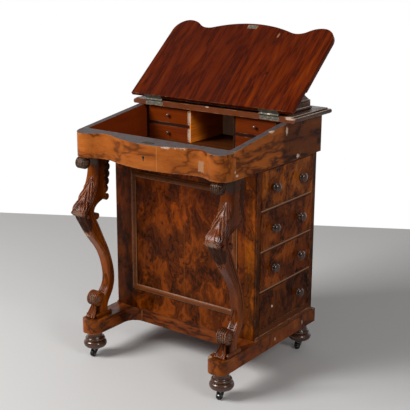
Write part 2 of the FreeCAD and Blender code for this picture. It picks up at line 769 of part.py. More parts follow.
def sawn(side_edges, width_shares):
    """Solid inside a side outline, cut again to a front outline."""
    half = LEG_WIDTH / 2
    side = closed_face(side_edges).extrude(V(LEG_WIDTH, 0, 0))
    side.translate(V(LEG_X - half, 0, 0))
    outline_y = side.BoundBox.YMin - CUT_OVERRUN
    length = side.BoundBox.YLength + CUT_OVERRUN + CUT_OVERRUN
    right = [V(LEG_X + share * LEG_WIDTH, outline_y, leg_point(height, 0)[1])
             for height, share in width_shares]
    left = [V(LEG_X + LEG_X - point.x, point.y, point.z) for point in reversed(right)]
    front = closed_face([leg_curve(right), leg_curve(left)]).extrude(V(0, length, 0))
    return side.common(front)


def leg_stem():
    """Plain leg, with its long edges rounded."""
    front = leg_curve(leg_points(LEG_FRONT_SHARES))
    back = leg_curve(leg_points(reversed(LEG_BACK_SHARES)))
    stem = sawn([front, back], LEG_WIDTH_SHARES)
    long_edges = [edge for edge in stem.Edges if edge.BoundBox.ZLength > CASE_HEIGHT / 2]
    return stem.makeFillet(LEG_EDGE_R, long_edges)


def leg_leaf():
    """Leaf on the knee: pointed at the top, broad and curled forwards at its foot."""
    front = leg_curve(leg_points(LEAF_FRONT_SHARES))
    low, middle, high = leg_points(LEAF_BACK_SHARES)
    return sawn([front, Part.makeLine(low, middle), Part.makeLine(middle, high)], LEAF_WIDTH_SHARES)


def carved_roll(height_share, sweep_share, radius_share, width_share):
    """Roll carved across the leg."""
    y, z = leg_point(height_share, sweep_share)
    half = LEG_WIDTH * width_share / 2
    return rod_x(LEG_X - half, LEG_X + half, y, z, LEG_WIDTH * radius_share)


def volute(height_share, sweep_share, radius_share, width_share):
    """Roll with a raised eye at each end."""
    y, z = leg_point(height_share, sweep_share)
    half = LEG_WIDTH * width_share / 2 + SCROLL_EYE_RISE
    eye = rod_x(LEG_X - half, LEG_X + half, y, z, LEG_WIDTH * radius_share * SCROLL_EYE_SHARE)
    return carved_roll(height_share, sweep_share, radius_share, width_share).fuse(eye)


def foot_block():
    """Block under the foot, bevelled round its top."""
    front_share, back_share, width_share = FOOT_BLOCK_SHARES
    front, floor = leg_point(0, front_share)
    back = leg_point(0, back_share)[0]
    half = LEG_WIDTH * width_share / 2
    top = floor + FOOT_BLOCK_HEIGHT
    body = block(LEG_X - half, LEG_X + half, front, back, floor, top)
    return body.makeChamfer(FOOT_BLOCK_BEVEL, [edge for edge in body.Edges if edge.BoundBox.ZMin > floor])


def right_leg():
    """Carved cabriole leg: the stem with its knee leaf, volutes and scalloped back."""
    volutes = (TOP_SCROLL_SHARES, FOOT_SCROLL_SHARES, UPPER_BACK_SCROLL_SHARES, LOWER_BACK_SCROLL_SHARES)
    carving = [leg_leaf(), foot_block()] + [volute(*shares) for shares in volutes]
    carving += [carved_roll(*shares) for shares in (LEAF_LIP_SHARES, UNDER_KNEE_ROLL_SHARES)]
    scroll_y = leg_point(*TOP_SCROLL_SHARES[:2])[0]
    stem_y = leg_point(*LEG_FRONT_SHARES[0])[0] + SCROLL_BAND
    half = LEG_WIDTH * TOP_SCROLL_SHARES[3] / 2
    carving.append(block(LEG_X - half, LEG_X + half, scroll_y, stem_y, BOX_Z - SCROLL_BAND, BOX_Z))
    for index in range(BEAD_COUNT):
        share = index / (BEAD_COUNT - 1)
        height = BEAD_HEIGHT_SHARES[0] + (BEAD_HEIGHT_SHARES[1] - BEAD_HEIGHT_SHARES[0]) * share
        sweep = BEAD_SWEEP_SHARES[0] + (BEAD_SWEEP_SHARES[1] - BEAD_SWEEP_SHARES[0]) * share ** 2
        carving.append(carved_roll(height, sweep, *BEAD_SHARES))
    return leg_stem().fuse(carving).removeSplitter()


# Writing box

def box_side_outline(rear_y):
    """Sloping side of the box from the front block back to rear_y."""
    crest_y = PIN_Y + (TOP_Z - slope_z(PIN_Y)) / math.tan(math.radians(BOX_SLOPE_DEG))
    return (
        (BOX_WELL_FRONT_Y, BOX_Z),
        ((rear_y, BOX_Z),),
        ((rear_y, TOP_Z),),
        ((crest_y, TOP_Z),),
        ((BOX_WELL_FRONT_Y, slope_z(BOX_WELL_FRONT_Y)),),
    )


def box_front():
    """Serpentine front, straight inside, with the lock's mortise and the keyhole."""
    steps = serpentine(BOX_X, -BOX_EAR_Y, -BOX_BOW_Y, BOX_CURVE_INSET)
    steps = [tuple((x, -reach) for x, reach in step) for step in steps]
    back = BOX_WELL_FRONT_Y
    plan = along_z(BOX_Z, TOP_Z, (BOX_X, back), *steps, ((-BOX_X, back),))
    front = BOX_BOW_Y - CUT_OVERRUN
    above = along_x(
        -BOX_X - CUT_OVERRUN, BOX_X + CUT_OVERRUN,
        (back + CUT_OVERRUN, slope_z(back + CUT_OVERRUN)),
        ((back + CUT_OVERRUN, TOP_Z + CUT_OVERRUN),),
        ((front, TOP_Z + CUT_OVERRUN),),
        ((front, slope_z(front)),),
    )
    hole = Part.makeCompound([lock(), keyhole(KEYHOLE_R + ESCUTCHEON_WALL, ESCUTCHEON_DEPTH)])
    return plan.cut(above).cut(hole).cut(keyhole(KEYHOLE_R, LOCK_SETBACK))


def lock_y():
    """Middle of the lock's thickness."""
    return BOX_BOW_Y + LOCK_SETBACK


def lock():
    """Lock let into the front's sloping top: a flush plate over a case."""
    y = lock_y()
    half = LOCK_PLATE_DEPTH / 2
    plate = along_x(
        -LOCK_PLATE_WIDTH / 2, LOCK_PLATE_WIDTH / 2,
        (y - half, slope_z(y - half)),
        ((y + half, slope_z(y + half)),),
        ((y + half, slope_z(y + half) - LOCK_PLATE),),
        ((y - half, slope_z(y - half) - LOCK_PLATE),),
    )
    top = slope_z(y - LOCK_BODY_DEPTH / 2) - LOCK_PLATE / 4
    half = LOCK_BODY_DEPTH / 2
    low = slope_z(y) - LOCK_BODY_HEIGHT
    body = block(-LOCK_BODY_WIDTH / 2, LOCK_BODY_WIDTH / 2, y - half, y + half, low, top)
    return plate.fuse(body).removeSplitter()


def keyhole(radius, depth):
    """Keyhole shape sunk into the front from its foremost point."""
    z = slope_z(BOX_BOW_Y) - ESCUTCHEON_DOWN
    slot = KEYHOLE_SLOT / KEYHOLE_R * radius / 2
    drop = KEYHOLE_DROP + radius - KEYHOLE_R
    eye = Part.makeCylinder(radius, depth, V(0, BOX_BOW_Y, z), Y_AXIS)
    return eye.fuse(block(-slot, slot, BOX_BOW_Y, BOX_BOW_Y + depth, z - drop, z)).removeSplitter()


def escutcheon():
    """Brass lining of the keyhole."""
    return keyhole(KEYHOLE_R + ESCUTCHEON_WALL, ESCUTCHEON_DEPTH).cut(keyhole(KEYHOLE_R, ESCUTCHEON_DEPTH))


# Fixed top board and stationery compartment

def nose_steps(side, face, low, high):
    """Moulded edge from the under side up to the top face: a nose below a step."""
    return (
        ((face - side * TOP_NOSE / 2, low),),
        ((face, (low + high - TOP_STEP_HEIGHT) / 2), (face - side * TOP_NOSE / 2, high - TOP_STEP_HEIGHT)),
        ((face - side * TOP_STEP, high - TOP_STEP_HEIGHT),),
        ((face - side * TOP_STEP, high),),
    )


def top_board():
    """Fixed board at the back, plain in front for the lid and moulded on its other edges."""
    right = nose_steps(1, TOP_X, TOP_Z, TOP_FACE_Z)
    left = nose_steps(-1, -TOP_X, TOP_Z, TOP_FACE_Z)
    left = tuple(reversed_steps(left))
    ends = along_y(TOP_FRONT_Y, TOP_REAR_Y, (0, TOP_Z), *right, *left)
    rear = nose_steps(1, TOP_REAR_Y, TOP_Z, TOP_FACE_Z)
    long_way = along_x(-TOP_X, TOP_X, (TOP_FRONT_Y, TOP_Z), *rear, ((TOP_FRONT_Y, TOP_FACE_Z),))
    board = ends.common(long_way)
    for x in (-HINGE_X, HINGE_X):
        board = board.cut(hinge_notch(x)).cut(fixed_leaf_plate(x))
    return board


def reversed_steps(steps):
    """The same run of lines and arcs, walked the other way."""
    ends = [step[-1] for step in steps]
    backwards = [(ends[-1],)]
    for step, end in zip(reversed(steps[1:]), reversed(ends[:-1])):
        backwards.append((step[0], end) if len(step) == 2 else (end,))
    return backwards


def stationery_front_y():
    """Front of the compartment, where its lid's upper arris just clears the open writing lid."""
    tilt = math.radians(LID_REST_TILT_DEG)
    arris_z = stationery_top_z()
    lid_z = PIN_Z + (LID_HINGE_RISE - STOP_GAP) / math.cos(tilt)
    arris_y = PIN_Y + (arris_z - lid_z) / math.tan(tilt)
    return arris_y - STATIONERY_LID_CANT


def stationery_top_z():
    """Top of the compartment's lid."""
    walls = TOP_FACE_Z + STATIONERY_BASE + STATIONERY_WALL_HEIGHT
    return walls + STATIONERY_LID_EDGE + STATIONERY_LID_CANT


def ovolo_board(x, y0, y1, z0, z1):
    """Board whose four edges are half round."""
    bulge = (z1 - z0) / 2
    middle = (z0 + z1) / 2
    ends = along_y(
        y0 - bulge, y1 + bulge,
        (-x, z0),
        ((x, z0),),
        ((x + bulge, middle), (x, z1)),
        ((-x, z1),),
        ((-x - bulge, middle), (-x, z0)),
    )
    long_way = along_x(
        -x - bulge, x + bulge,
        (y0, z0),
        ((y1, z0),),
        ((y1 + bulge, middle), (y1, z1)),
        ((y0, z1),),
        ((y0 - bulge, middle), (y0, z0)),
    )
    return ends.common(long_way)


def stationery_box():
    """Compartment on the top board: a moulded base and four walls."""
    x = STATIONERY_X
    y0, y1 = stationery_front_y(), STATIONERY_REAR_Y
    floor_z = TOP_FACE_Z + STATIONERY_BASE
    wall_z = floor_z + STATIONERY_WALL_HEIGHT
    wall = STATIONERY_WALL
    base = ovolo_board(x, y0, y1, TOP_FACE_Z, floor_z)
    return [
        base,
        block(-x, x, y0, y0 + wall, floor_z, wall_z),
        block(-x, x, y1 - wall, y1, floor_z, wall_z),
        block(-x, -x + wall, y0 + wall, y1 - wall, floor_z, wall_z),
        block(x - wall, x, y0 + wall, y1 - wall, floor_z, wall_z),
    ]


def stationery_lid():
    """Canted lid of the compartment, with a half-round edge."""
    x = STATIONERY_X - STATIONERY_LID_LIP
    y0, y1 = stationery_front_y() + STATIONERY_LID_LIP, STATIONERY_REAR_Y - STATIONERY_LID_LIP
    z0 = TOP_FACE_Z + STATIONERY_BASE + STATIONERY_WALL_HEIGHT
    z1 = z0 + STATIONERY_LID_EDGE
    top = stationery_top_z()
    cant = STATIONERY_LID_CANT - STATIONERY_LID_LIP
    edge = ovolo_board(x, y0, y1, z0, z1)
    ends = along_y(y0, y1, (-x, z1), ((x, z1),), ((x - cant, top),), ((cant - x, top),))
    long_way = along_x(-x, x, (y0, z1), ((y1, z1),), ((y1 - cant, top),), ((y0 + cant, top),))
    return edge.fuse(ends.common(long_way)).removeSplitter()


# Lid and its hinges

def hinge_notch(x):
    """Room for a hinge barrel in the edges on both sides of it."""
    half = HINGE_LENGTH / 2 + HINGE_NOTCH
    return rod_x(x - half, x + half, PIN_Y, PIN_Z, HINGE_BARREL_R + HINGE_NOTCH)


def fixed_leaf_plate(x):
    """Leaf let into the front edge of the top board."""
    half = HINGE_LENGTH / 2
    rear = TOP_FRONT_Y + HINGE_LEAF
    return block(x - half, x + half, TOP_FRONT_Y, rear, TOP_FACE_Z - HINGE_LEAF_HEIGHT, PIN_Z)


def knuckles(x, shares, gap):
    """Pieces of hinge barrel about the pin line, between shares of the hinge's length."""
    start = x - HINGE_LENGTH / 2
    return [
        rod_x(start + HINGE_LENGTH * low + gap, start + HINGE_LENGTH * high - gap, 0, 0, HINGE_BARREL_R)
        for low, high in shares
    ]


def barrel_room(x, shares):
    """Space that the other leaf's knuckles turn in."""
    start = x - HINGE_LENGTH / 2
    radius = HINGE_BARREL_R + SLIDE_GAP
    return [
        rod_x(start + HINGE_LENGTH * low - SLIDE_GAP, start + HINGE_LENGTH * high + SLIDE_GAP, 0, 0, radius)
        for low, high in shares
    ]


def at_pin(shapes):
    """Move pieces from the pin line at the origin to the hinge line."""
    return [shape.translated(V(0, PIN_Y, PIN_Z)) for shape in shapes]


def hinge_bore(x, radius):
    """Hole through the barrel, about the pin line at the origin."""
    return rod_x(x - HINGE_LENGTH, x + HINGE_LENGTH, 0, 0, radius)


def fixed_leaf(x):
    """Leaf and outer knuckles on the top board."""
    leaf = fixed_leaf_plate(x).cut(at_pin(barrel_room(x, MIDDLE_KNUCKLE_SHARES)))
    leaf = leaf.fuse(at_pin(knuckles(x, OUTER_KNUCKLE_SHARES, 0)))
    return leaf.cut(at_pin([hinge_bore(x, HINGE_PIN_R)])).removeSplitter()


def lid_leaf_plate(x):
    """Leaf let into the lid's back edge, about the pin line at the origin."""
    half = HINGE_LENGTH / 2
    front = LID_EDGE_SETBACK + HINGE_LEAF
    return block(x - half, x + half, LID_EDGE_SETBACK, front, 0, LID_HINGE_RISE + LID_BOARD - HINGE_LEAF)


def lid_leaf(x):
    """Leaf and middle knuckle on the lid."""
    leaf = lid_leaf_plate(x).cut(barrel_room(x, OUTER_KNUCKLE_SHARES))
    leaf = leaf.fuse(knuckles(x, MIDDLE_KNUCKLE_SHARES, SLIDE_GAP))
    return laid_open(leaf.cut(hinge_bore(x, HINGE_PIN_R + RUN_CLEARANCE)).removeSplitter())


def hinge_pin(x):
    """Pin through both leaves."""
    half = HINGE_LENGTH / 2
    return rod_x(x - half, x + half, PIN_Y, PIN_Z, HINGE_PIN_R)


def outer_face_edges(shape, w):
    """Edges lying in one face of a lid piece."""
    return [e for e in shape.Edges if abs(e.BoundBox.ZMin - w) + abs(e.BoundBox.ZMax - w) < JOIN_TOLERANCE]


def writing_lid():
    """Serpentine lid board with eased edges, let out for the leather, hinges and striker."""
    face_w = LID_HINGE_RISE
    inner_w = LID_HINGE_RISE + LID_BOARD
    board = lid_plate(TOP_X, LID_EDGE_SETBACK, 0, face_w, inner_w)
    eased = [e for e in outer_face_edges(board, inner_w) if e.BoundBox.YMax > LID_EDGE_SETBACK + LID_EDGE_R]
    board = board.makeFillet(LID_EDGE_R, eased)
    board = board.cut(leather_plate()).cut(striker_plate())
    for x in (-HINGE_X, HINGE_X):
        half = HINGE_LENGTH / 2 + HINGE_NOTCH
        notch = rod_x(x - half, x + half, 0, 0, HINGE_BARREL_R + HINGE_NOTCH)
        board = board.cut(notch).cut(lid_leaf_plate(x))
    return laid_open(board)


def leather_plate():
    """Writing leather let into the lid's outer face."""
    inset = LID_RIM_WIDTH + LEATHER_MARGIN
    half = TOP_X - inset
    return lid_plate(half, LEATHER_BACK_MARGIN, inset, LID_HINGE_RISE, LID_HINGE_RISE + LEATHER)


def striker_plate():
    """Plate in the lid's inner face that the lock catches."""
    inner_w = LID_HINGE_RISE + LID_BOARD
    front = LID_EDGE_SETBACK + LID_BOW_REACH - STRIKER_MARGIN
    half = STRIKER_WIDTH / 2
    return block(-half, half, front - STRIKER_DEPTH, front, inner_w - STRIKER, inner_w)


def lid_rim():
    """Raised rim on the lid's outer face, stopping short of the hinges."""
    high_w = LID_HINGE_RISE - LID_RIM_HEIGHT
    outer = lid_plate(TOP_X, LID_RIM_START, 0, high_w, LID_HINGE_RISE)
    inner_half = TOP_X - LID_RIM_WIDTH
    start = LID_RIM_START - CUT_OVERRUN
    inner = lid_plate(inner_half, start, LID_RIM_WIDTH, high_w - CUT_OVERRUN, LID_HINGE_RISE + CUT_OVERRUN)
    rim = outer.cut(inner)
    return laid_open(rim.makeFillet(LID_RIM_EDGE_R, outer_face_edges(rim, high_w)))


# Fittings inside the box

def nest_boards():
    """Partitions, shelves and fillers round the pigeonhole and the small drawers."""
    front = NEST_FRONT_Y
    pen_wall_y = PEN_SEAM_Y - PEN_WALL
    left_x = LEFT_PARTITION_X + PARTITION
    right_x = RIGHT_PARTITION_X - PARTITION
    shelf_top = NEST_SHELF_Z + NEST_SHELF
    return [
        block(LEFT_PARTITION_X, left_x, front, WELL_REAR_Y, WELL_Z, TOP_Z),
        block(right_x, RIGHT_PARTITION_X, front, WELL_REAR_Y, WELL_Z, TOP_Z),
        block(-WELL_X, LEFT_NEST_X, front, WELL_REAR_Y, WELL_Z, TOP_Z),
        block(RIGHT_NEST_X, WELL_X, front, pen_wall_y, WELL_Z, TOP_Z),
        block(LEFT_NEST_X, LEFT_PARTITION_X, front, WELL_REAR_Y, NEST_SHELF_Z, shelf_top),
        block(RIGHT_PARTITION_X, RIGHT_NEST_X, front, pen_wall_y, NEST_SHELF_Z, shelf_top),
        block(RIGHT_PARTITION_X, WELL_X, pen_wall_y, PEN_SEAM_Y, WELL_Z, TOP_Z),
    ]


def small_drawer(x0, x1, z0, z1, depth):
    """Small drawer opening forwards: a front with a knob, and a tray of thin boards."""
    front_y = NEST_FRONT_Y
    rear_y = front_y + depth
    body_y = front_y + SMALL_FRONT
    top = z1 - SMALL_TRAY_DROP
    board = SMALL_BOARD
    knob_place = V((x0 + x1) / 2, front_y, (z0 + z1) / 2)
    return [
        block(x0, x1, front_y, body_y, z0, z1),
        block(x0, x0 + board, body_y, rear_y, z0, top),
        block(x1 - board, x1, body_y, rear_y, z0, top),
        block(x0 + board, x1 - board, rear_y - board, rear_y, z0, top),
        block(x0 + board, x1 - board, body_y, rear_y - board, z0, z0 + SMALL_BOTTOM),
        knob(knob_place, V(0, -1, 0), SMALL_KNOB_R, SMALL_KNOB_LENGTH),
    ]


def small_drawers():
    """The four small drawers by name."""
    lower = (WELL_Z + SLIDE_GAP, NEST_SHELF_Z - SIDE_GAP)
    upper = (NEST_SHELF_Z + NEST_SHELF + SLIDE_GAP, TOP_Z - SMALL_TOP_GAP)
    left = (LEFT_NEST_X + SIDE_GAP, LEFT_PARTITION_X - SIDE_GAP)
    right = (RIGHT_PARTITION_X + SIDE_GAP, RIGHT_NEST_X - SIDE_GAP)
    left_depth = WELL_REAR_Y - SMALL_BACK_ROOM - NEST_FRONT_Y
    right_depth = PEN_SEAM_Y - PEN_WALL - NEST_FRONT_Y - STOP_GAP
    return {
        "small_drawer_left_upper": small_drawer(*left, *upper, left_depth),
        "small_drawer_left_lower": small_drawer(*left, *lower, left_depth),
        "small_drawer_right_upper": small_drawer(*right, *upper, right_depth),
        "small_drawer_right_lower": small_drawer(*right, *lower, right_depth),
    }


def pen_drawer_front():
    """Rear end of the box's right side, which is the front of the pen drawer."""
    y0 = PEN_SEAM_Y + SIDE_GAP
    return block(WELL_X, BOX_X, y0, BOX_REAR_Y, BOX_Z, TOP_Z - SIDE_GAP)


def pen_drawer_tray():
    """Shallow tray of the pen drawer."""
    z0 = WELL_Z + SLIDE_GAP
    y0 = PEN_SEAM_Y + SIDE_GAP
    y1 = WELL_REAR_Y - SIDE_GAP
    x0 = RIGHT_PARTITION_X + PEN_BACK_ROOM
    return tray(x0, WELL_X, y0, y1, z0, z0 + PEN_TRAY_HEIGHT, PEN_BOARD, PEN_BOARD)


def main():
    """Write every node."""
    os.makedirs("parts", exist_ok=True)
    places = foot_places()
    save("bun_feet", *[bun_foot(x, y) for _, x, y in places])
    save("castor_sockets", *[castor_socket(x, y) for _, x, y in places])
    for name, x, y in places:
        save("castor_horn_" + name, castor_horn(x, y))
        save("castor_wheel_" + name, castor_wheel(x, y))
    save("plinth_base", plinth_base())
    save("plinth_arms", plinth_arm(), mirrored(plinth_arm()))

    save("case_front_panel", front_panel())
    save("case_back_panel", back_panel())
    save("panel_mouldings", panel_moulding(CASE_FRONT_Y, -1), panel_moulding(CASE_REAR_Y, 1))
    save("case_left_side", left_side())
    save("dust_boards", *dust_boards())
    save("case_base", *case_base())
    save("base_mouldings", base_moulding(), mirrored(base_moulding()))
    indices = range(1, DRAWER_COUNT + 1)
    save("dummy_drawer_fronts", *[dummy_front(index) for index in indices])
    save("dummy_drawer_knobs", *[peg for index in indices for peg in dummy_knobs(index)])
    for index in indices:
        save(f"drawer_{index}_front", drawer_front(index))
        save(f"drawer_{index}_tray", *drawer_tray(index))
        save(f"drawer_{index}_knobs", *drawer_knobs(index))

    leg = right_leg()
    save("right_leg", leg)
    save("left_leg", mirrored(leg))

    save("box_bottom", block(-WELL_X, WELL_X, BOX_WELL_FRONT_Y, WELL_REAR_Y, BOX_Z, WELL_Z))
    save("box_left_side", along_x(-BOX_X, -WELL_X, *box_side_outline(BOX_REAR_Y)))
    save("box_right_side", along_x(WELL_X, BOX_X, *box_side_outline(PEN_SEAM_Y)))
    save("box_back", block(-WELL_X, WELL_X, WELL_REAR_Y, BOX_REAR_Y, BOX_Z, TOP_Z))
    save("box_front", box_front())
    save("box_lock", lock())
    save("key_escutcheon", escutcheon())
    save("top_board", top_board())
    save("nest_boards", *nest_boards())
    for name, solids in small_drawers().items():
        save(name, *solids)
    save("pen_drawer_front", pen_drawer_front())
    save("pen_drawer_tray", *pen_drawer_tray())
    save("stationery_box", *stationery_box())
    save("stationery_lid", stationery_lid())

    save("writing_lid", writing_lid())
    save("lid_rim", lid_rim())
    save("leather_panel", laid_open(leather_plate()))
    save("lock_striker", laid_open(striker_plate()))
    save("hinge_leaves_fixed", *[fixed_leaf(x) for x in (-HINGE_X, HINGE_X)])
    save("hinge_leaves_lid", *[lid_leaf(x) for x in (-HINGE_X, HINGE_X)])
    save("hinge_pins", *[hinge_pin(x) for x in (-HINGE_X, HINGE_X)])


main()
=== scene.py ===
"""Davenport desk: finishes, leg carving, screws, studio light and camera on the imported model.

Metres, in the model's own frame: +Z is up, the desk faces -Y and its working drawers open to +X.
"""
import logging
import math
from dataclasses import dataclass, replace
from enum import Enum, IntEnum
from typing import Callable, Dict, Iterable, List, Optional, Sequence, Tuple, Union

import bmesh
import bpy
from mathutils import Matrix, Vector


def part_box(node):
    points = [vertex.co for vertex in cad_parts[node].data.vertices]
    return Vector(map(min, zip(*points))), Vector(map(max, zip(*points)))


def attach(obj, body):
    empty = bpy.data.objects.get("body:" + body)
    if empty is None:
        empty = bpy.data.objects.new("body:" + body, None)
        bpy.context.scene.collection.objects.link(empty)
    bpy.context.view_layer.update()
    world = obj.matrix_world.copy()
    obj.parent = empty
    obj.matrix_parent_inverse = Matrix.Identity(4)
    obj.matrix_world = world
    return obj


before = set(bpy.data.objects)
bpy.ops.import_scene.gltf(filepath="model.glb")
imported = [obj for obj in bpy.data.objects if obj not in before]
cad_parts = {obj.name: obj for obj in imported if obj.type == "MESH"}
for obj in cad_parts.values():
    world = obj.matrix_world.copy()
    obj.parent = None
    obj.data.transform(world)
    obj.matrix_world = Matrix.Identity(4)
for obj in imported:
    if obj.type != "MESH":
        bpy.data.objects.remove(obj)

LOG = logging.getLogger("davenport_desk")
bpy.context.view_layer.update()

Colour = Tuple[float, float, float]
Point = Tuple[float, float, float]
Feed = Union[bpy.types.NodeSocket, float, Sequence[float]]
Table = Tuple[Tuple[float, float], ...]


class Axis(IntEnum):
    """Axes of the frame."""

    X = 0
    Y = 1
    Z = 2


X, Y, Z = Axis

PALE_WOOD: Colour = (0.50, 0.29, 0.17)
# Grey of the upward faces: worn polish with a painted sheen
WORN_GREY_AND_SHEEN: Colour = (0.072, 0.070, 0.074)
# Colour of the painted shade in the hollows, partly grime
HOLLOW_SHADE_AND_SOIL: Colour = (0.010, 0.005, 0.003)

# Depths of the reliefs in metres
PORE_DEPTH = 0.00012
PIT_DEPTH = 0.0002
PEBBLE_DEPTH = 0.0002

# Cycles of the noises per metre
PITS = 700.0
PORES = 620.0
PEBBLES = 620.0
FRAYED_OUTLINES = 260.0
TARNISH = 130.0
RIM_STREAKS = 75.0
WORN_SPOTS = 34.0
POLISH = 26.0
RUBBED_LEATHER = 9.0
FLOOR_SHADES = 1.2


# Node trees

class Nodes:
    """Builder of a node tree."""

    def __init__(self, tree: bpy.types.NodeTree) -> None:
        """Start with an empty tree."""
        self.tree = tree
        tree.nodes.clear()

    def node(self, kind: str, **settings: object) -> bpy.types.Node:
        """Add a node.

        Args:
            kind: Blender's name of the node type.
            settings: attributes to set on it.

        Returns:
            The new node.
        """
        made = self.tree.nodes.new(kind)
        for key, value in settings.items():
            setattr(made, key, value)
        return made

    def feed(self, socket: bpy.types.NodeSocket, value: Feed) -> None:
        """Link a socket to another, or set its value.

        Args:
            socket: input to feed.
            value: output socket, number or vector.
        """
        if isinstance(value, bpy.types.NodeSocket):
            self.tree.links.new(value, socket)
        elif socket.type == "RGBA":
            socket.default_value = (*value[:3], 1.0)
        else:
            socket.default_value = value

    def place(self) -> bpy.types.NodeSocket:
        """Place on the piece, in metres of the model's frame at rest."""
        return self.node("ShaderNodeTexCoord").outputs["Object"]

    def facing(self) -> bpy.types.NodeSocket:
        """Normal of the piece as it stands at rest."""
        return self.node("ShaderNodeTexCoord").outputs["Normal"]

    def math(self, operation: str, a: Feed, b: Feed = 0.0) -> bpy.types.NodeSocket:
        """Combine two numbers.

        Args:
            operation: Blender's name of the operation.
            a: first number.
            b: second number.

        Returns:
            The result.
        """
        made = self.node("ShaderNodeMath", operation=operation)
        for socket, value in zip(made.inputs, (a, b)):
            self.feed(socket, value)
        return made.outputs[0]

    def vector(self, operation: str, a: Feed, b: Feed = (0.0, 0.0, 0.0)) -> bpy.types.NodeSocket:
        """Combine vectors, or measure one.

        Args:
            operation: Blender's name of the operation.
            a: first vector.
            b: second vector.

        Returns:
            The resulting vector, or number for a length or dot product.
        """
        made = self.node("ShaderNodeVectorMath", operation=operation)
        self.feed(made.inputs[0], a)
        self.feed(made.inputs[1], b)
        return made.outputs["Value" if operation in ("LENGTH", "DOT_PRODUCT", "DISTANCE") else "Vector"]

    def part(self, vector: Feed, axis: Axis) -> bpy.types.NodeSocket:
        """One component of a vector.

        Args:
            vector: vector to take apart.
            axis: axis of the component.

        Returns:
            The component.
        """
        made = self.node("ShaderNodeSeparateXYZ")
        self.feed(made.inputs[0], vector)
        return made.outputs[axis]

    def noise(self, at: Feed, scale: float, detail: float = 2.0, roughness: float = 0.5,
              output: str = "Fac") -> bpy.types.NodeSocket:
        """Cloudy noise.

        Args:
            at: place.
            scale: cycles per metre.
            detail: octaves.
            roughness: weight of the finer octaves.
            output: Fac for a number, Color for a vector.

        Returns:
            The noise.
        """
        made = self.node("ShaderNodeTexNoise")
        self.feed(made.inputs["Vector"], at)
        made.inputs["Scale"].default_value = scale
        made.inputs["Detail"].default_value = detail
        made.inputs["Roughness"].default_value = roughness
        return made.outputs[output]

    def cells(self, at: Feed, scale: float) -> bpy.types.NodeSocket:
        """Distance to scattered points.

        Args:
            at: place.
            scale: points per metre.

        Returns:
            The distance, in shares of the spacing.
        """
        made = self.node("ShaderNodeTexVoronoi", feature="F1")
        self.feed(made.inputs["Vector"], at)
        made.inputs["Scale"].default_value = scale
        return made.outputs["Distance"]

    def span(self, value: Feed, low: float, high: float, start: float = 0.0,
             end: float = 1.0) -> bpy.types.NodeSocket:
        """Map a range of numbers smoothly to another, and stop at its ends.

        Args:
            value: number to map.
            low: input that gives start.
            high: input that gives end.
            start: output at low.
            end: output at high.

        Returns:
            The mapped number.
        """
        made = self.node("ShaderNodeMapRange", interpolation_type="SMOOTHSTEP")
        for socket, number in zip(made.inputs, (value, low, high, start, end)):
            self.feed(socket, number)
        return made.outputs[0]

    def ramp(self, value: Feed, stops: Sequence[Tuple[float, Colour]]) -> bpy.types.NodeSocket:
        """Colours along a scale.

        Args:
            value: number from 0 to 1.
            stops: places and colours.

        Returns:
            The colour.
        """
        made = self.node("ShaderNodeValToRGB")
        self.feed(made.inputs[0], value)
        elements = made.color_ramp.elements
        while len(elements) < len(stops):
            elements.new(1.0)
        for element, (spot, colour) in zip(elements, stops):
            element.position = spot
            element.color = (*colour, 1.0)
        return made.outputs[0]

    def mix(self, share: Feed, a: Feed, b: Feed, blend: str = "MIX") -> bpy.types.NodeSocket:
        """Blend two colours.

        Args:
            share: weight of the second colour.
            a: first colour.
            b: second colour.
            blend: Blender's name of the way to blend.

        Returns:
            The colour.
        """
        made = self.node("ShaderNodeMix", data_type="RGBA", blend_type=blend)
        self.feed(made.inputs[0], share)
        self.feed(made.inputs[6], a)
        self.feed(made.inputs[7], b)
        return made.outputs[2]

    def worn_edge(self, radius: float) -> bpy.types.NodeSocket:
        """Mask of the sharp edges.

        Args:
            radius: reach from an edge.

        Returns:
            0 on flat faces, rising towards the edges.
        """
        rounded = self.node("ShaderNodeBevel", samples=6)
        rounded.inputs["Radius"].default_value = radius
        flat = self.node("ShaderNodeNewGeometry").outputs["Normal"]
        return self.math("SUBTRACT", 1.0, self.vector("DOT_PRODUCT", rounded.outputs[0], flat))

    def hollows(self, reach: float) -> bpy.types.NodeSocket:
        """Openness of the surface.

        Args:
            reach: distance looked at.

        Returns:
            1 in the open, less in the hollows.
        """
        made = self.node("ShaderNodeAmbientOcclusion", samples=6)
        made.inputs["Distance"].default_value = reach
        return made.outputs["AO"]

    def bump(self, height: Feed, depth: float, strength: float = 1.0) -> bpy.types.NodeSocket:
        """Relief from a height.

        Args:
            height: relief from 0 to 1.
            depth: metres between 0 and 1.
            strength: weight of the relief.

        Returns:
            The normal.
        """
        made = self.node("ShaderNodeBump")
        made.inputs["Strength"].default_value = strength
        made.inputs["Distance"].default_value = depth
        self.feed(made.inputs["Height"], height)
        return made.outputs[0]


class Shader(Nodes):
    """Builder of one procedural material's node tree."""

    def __init__(self, name: str) -> None:
        """Start an empty material.

        Args:
            name: name of the material.
        """
        self.material = bpy.data.materials.new(name)
        self.material.use_nodes = True
        super().__init__(self.material.node_tree)

    def surface(self, colour: Feed, roughness: Feed, normal: Optional[bpy.types.NodeSocket] = None,
                **constants: float) -> bpy.types.Material:
        """Close the tree with a surface.

        Args:
            colour: base colour.
            roughness: base roughness.
            normal: relief.
            constants: other inputs by name, with spaces written as underscores.

        Returns:
            The finished material.
        """
        body = self.node("ShaderNodeBsdfPrincipled")
        self.feed(body.inputs["Base Color"], colour)
        self.feed(body.inputs["Roughness"], roughness)
        if normal is not None:
            self.feed(body.inputs["Normal"], normal)
        for key, value in constants.items():
            body.inputs[key.replace("_", " ")].default_value = value
        end = self.node("ShaderNodeOutputMaterial")
        self.tree.links.new(body.outputs[0], end.inputs["Surface"])
        return self.material


# Finishes

